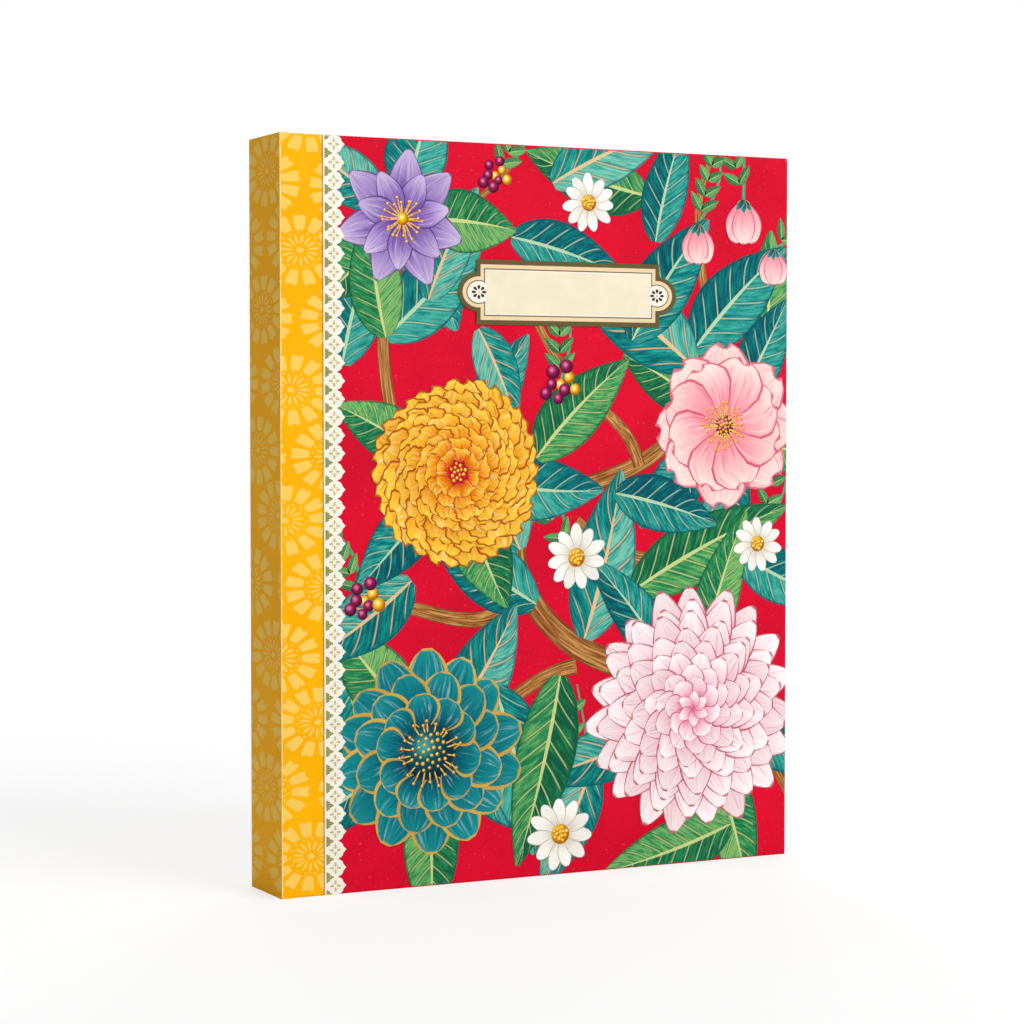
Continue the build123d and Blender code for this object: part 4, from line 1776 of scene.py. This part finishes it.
class ADDRESSBOOK_OT_binding(bpy.types.Operator):
    """Finish the sewn folds, the thread, the spine lining and the bands"""

    bl_idname = "address_book.binding"
    bl_label = "Binding"
    bl_options = {"REGISTER", "UNDO"}

    def execute(self, context):
        flange = weave_finish("flange_weave", MULL_THREADS, MULL_PITCH, axes=(0, 2))
        band = band_finish()
        finishes = {
            "section_folds": paper_finish("fold_paper", colours().page, FOLD_FLECK),
            "sewing_thread": weave_finish("thread_twist", SEWING_THREADS, SEWING_PITCH, axes=(1, 2)),
            "spine_mull": weave_finish("mull_weave", MULL_THREADS, MULL_PITCH, axes=(1, 2)),
            "front_mull_flange": flange,
            "back_mull_flange": flange,
            "spine_liner": paper_finish("kraft_liner", srgb(*KRAFT), KRAFT_FLECK, KRAFT_GRAIN),
            "headband": band,
            "tailband": band,
        }
        dress_nodes(finishes)
        return {"FINISHED"}


class ADDRESSBOOK_OT_rosettes(bpy.types.Operator):
    """Print the wheel rosettes on the spine and on the strips beside it, and the pale fold lines of rubbed
    paper and painted highlight
    """

    bl_idname = "address_book.rosettes"
    bl_label = "Rosettes"
    bl_options = {"REGISTER", "UNDO"}

    def execute(self, context):
        strip = size_mm("strip")
        behind = WIDTH + THICKNESS / SPINE_PRINT["stretch"] * COVER_PRINT["stretch"]
        rosette_paper(
            "front_rosettes", FRONT_SHEET, "front_cover", 0, COVER_PRINT, FOLD_KEEP, strip, "cover_paper"
        )
        rosette_paper(
            "spine_rosettes", SPINE_SHEET, "spine", THICKNESS, SPINE_PRINT, FOLD_KEEP, THICKNESS - FOLD_KEEP,
            "spine_paper",
        )
        rosette_paper(
            "back_rosettes", BACK_SHEET, "back_cover", behind, COVER_PRINT, WIDTH - strip, WIDTH - FOLD_KEEP,
            "cover_paper",
        )
        start, end = WEAR_AND_HIGHLIGHT_REACH
        # pale fold lines: rubbed paper with a painted highlight along each fold
        fold_wear_and_highlight("front_fold_wear", FRONT_SHEET, "front_cover", start, end)
        fold_wear_and_highlight("back_fold_wear", BACK_SHEET, "back_cover", WIDTH - start, WIDTH - end)
        return {"FINISHED"}


class ADDRESSBOOK_OT_print(bpy.types.Operator):
    """Print the flowers, leaves and branches on both covers"""

    bl_idname = "address_book.botanical_print"
    bl_label = "Botanical print"
    bl_options = {"REGISTER", "UNDO"}

    def execute(self, context):
        inner = size_mm("strip") + STRIP_KEEP
        head = HEIGHT - EDGE_KEEP
        botanical(
            "front", FRONT_SHEET, "front_cover", FRONT_BLOOMS, FRONT_LEAVES, FRONT_BRANCHES,
            (inner, EDGE_KEEP), (WIDTH - EDGE_KEEP, head), FRONT_SEED,
        )
        botanical(
            "back", BACK_SHEET, "back_cover", BACK_BLOOMS, BACK_LEAVES, BACK_BRANCHES,
            (EDGE_KEEP, EDGE_KEEP), (WIDTH - inner, head), BACK_SEED,
        )
        return {"FINISHED"}


class ADDRESSBOOK_OT_lace(bpy.types.Operator):
    """Print the lace strips"""

    bl_idname = "address_book.lace"
    bl_label = "Lace"
    bl_options = {"REGISTER", "UNDO"}

    def execute(self, context):
        lace("front", FRONT_SHEET, "front_cover", mirrored=False)
        lace("back", BACK_SHEET, "back_cover", mirrored=True)
        return {"FINISHED"}


class ADDRESSBOOK_OT_label(bpy.types.Operator):
    """Print the bare title plate"""

    bl_idname = "address_book.label"
    bl_label = "Title plate"
    bl_options = {"REGISTER", "UNDO"}

    def execute(self, context):
        label()
        return {"FINISHED"}


class ADDRESSBOOK_OT_leaves(bpy.types.Operator):
    """Make the leaves of each letter section and the flyleaves"""

    bl_idname = "address_book.leaves"
    bl_label = "Leaves"
    bl_options = {"REGISTER", "UNDO"}

    def execute(self, context):
        page = page_finish("ruled_page", colours().page, ruled=True)
        edge = page_finish("leaf_edge", colours().page, ruled=False)
        blank = page_finish("endpaper_leaf", colours().endpaper, ruled=False)
        count = sizes().leaves
        for index, name in enumerate(SECTION_NAMES):
            last = index == len(SECTION_NAMES) - 1
            foot = None if last else tab_foot(index)
            body = f"leaves_{name}"
            leaf_stack(body, f"section_{name}", count, foot, [page, edge])
        for side in ("front", "back"):
            name = f"{side}_flyleaf_sheet"
            leaf_stack(name, f"{side}_flyleaf", 1, None, [blank, blank])
        return {"FINISHED"}


class ADDRESSBOOK_OT_tabs(bpy.types.Operator):
    """Print the letter tabs of the index"""

    bl_idname = "address_book.tabs"
    bl_label = "Letter tabs"
    bl_options = {"REGISTER", "UNDO"}

    def execute(self, context):
        flat_inks(TAB_INKS)
        flat_inks(LETTER_INK)
        for index, name in enumerate(SECTION_NAMES):
            letter_tab(index, name)
        return {"FINISHED"}


class ADDRESSBOOK_OT_endpaper_folds(bpy.types.Operator):
    """Make the bends of the endpapers and the turned-in paper at the joints"""

    bl_idname = "address_book.endpaper_folds"
    bl_label = "Endpaper folds"
    bl_options = {"REGISTER", "UNDO"}

    def execute(self, context):
        endpaper_fold("front", 1)
        endpaper_fold("back", -1)
        gold = flat_ink("joint_gold", colours().gold, wander=0.06)
        off = JOINT_PAPER / 2 + JOINT_CLEAR
        spine_face = corner_mm("spine_board")[1].x + off
        cover_face = corner_mm("front_board")[0].x - off
        joint_paper("spine_joint_paper", "spine", gold, spine_face, sides=(1, -1))
        joint_paper("front_joint_paper", "front_cover", gold, cover_face, sides=(1,))
        joint_paper("back_joint_paper", "back_cover", gold, cover_face, sides=(-1,))
        return {"FINISHED"}


class ADDRESSBOOK_OT_stage(bpy.types.Operator):
    """Set the floor, the lights and the camera"""

    bl_idname = "address_book.stage"
    bl_label = "Stage"
    bl_options = {"REGISTER", "UNDO"}

    def execute(self, context):
        floor()
        sky()
        lights()
        camera()
        return {"FINISHED"}


OPERATORS = (
    ADDRESSBOOK_OT_inks,
    ADDRESSBOOK_OT_case,
    ADDRESSBOOK_OT_binding,
    ADDRESSBOOK_OT_rosettes,
    ADDRESSBOOK_OT_print,
    ADDRESSBOOK_OT_lace,
    ADDRESSBOOK_OT_label,
    ADDRESSBOOK_OT_leaves,
    ADDRESSBOOK_OT_tabs,
    ADDRESSBOOK_OT_endpaper_folds,
    ADDRESSBOOK_OT_stage,
)


class ADDRESSBOOK_PT_panel(bpy.types.Panel):
    """Lists the steps and the sizes and colours"""

    bl_label = "Address Book"
    bl_space_type = "VIEW_3D"
    bl_region_type = "UI"
    bl_category = "Address Book"

    def draw(self, context):
        for operator in OPERATORS:
            self.layout.operator(operator.bl_idname)
        for group in (context.scene.address_book_sizes, context.scene.address_book_colours):
            for name in group.__annotations__:
                self.layout.prop(group, name)


CLASSES = (BookSizes, BookColours, *OPERATORS, ADDRESSBOOK_PT_panel)


def register():
    """Registers the classes and hangs the settings on the scene."""
    for cls in CLASSES:
        bpy.utils.register_class(cls)
    bpy.types.Scene.address_book_sizes = PointerProperty(type=BookSizes)
    bpy.types.Scene.address_book_colours = PointerProperty(type=BookColours)


def unregister():
    """Takes the settings and the classes away."""
    del bpy.types.Scene.address_book_colours
    del bpy.types.Scene.address_book_sizes
    for cls in reversed(CLASSES):
        bpy.utils.unregister_class(cls)


def main():
    """Dresses the book step by step."""
    register()
    bpy.context.scene.view_settings.view_transform = "Standard"
    for operator in OPERATORS:
        group, name = operator.bl_idname.split(".")
        getattr(getattr(bpy.ops, group), name)()
    bpy.context.view_layer.update()


if __name__ == "__main__":
    main()
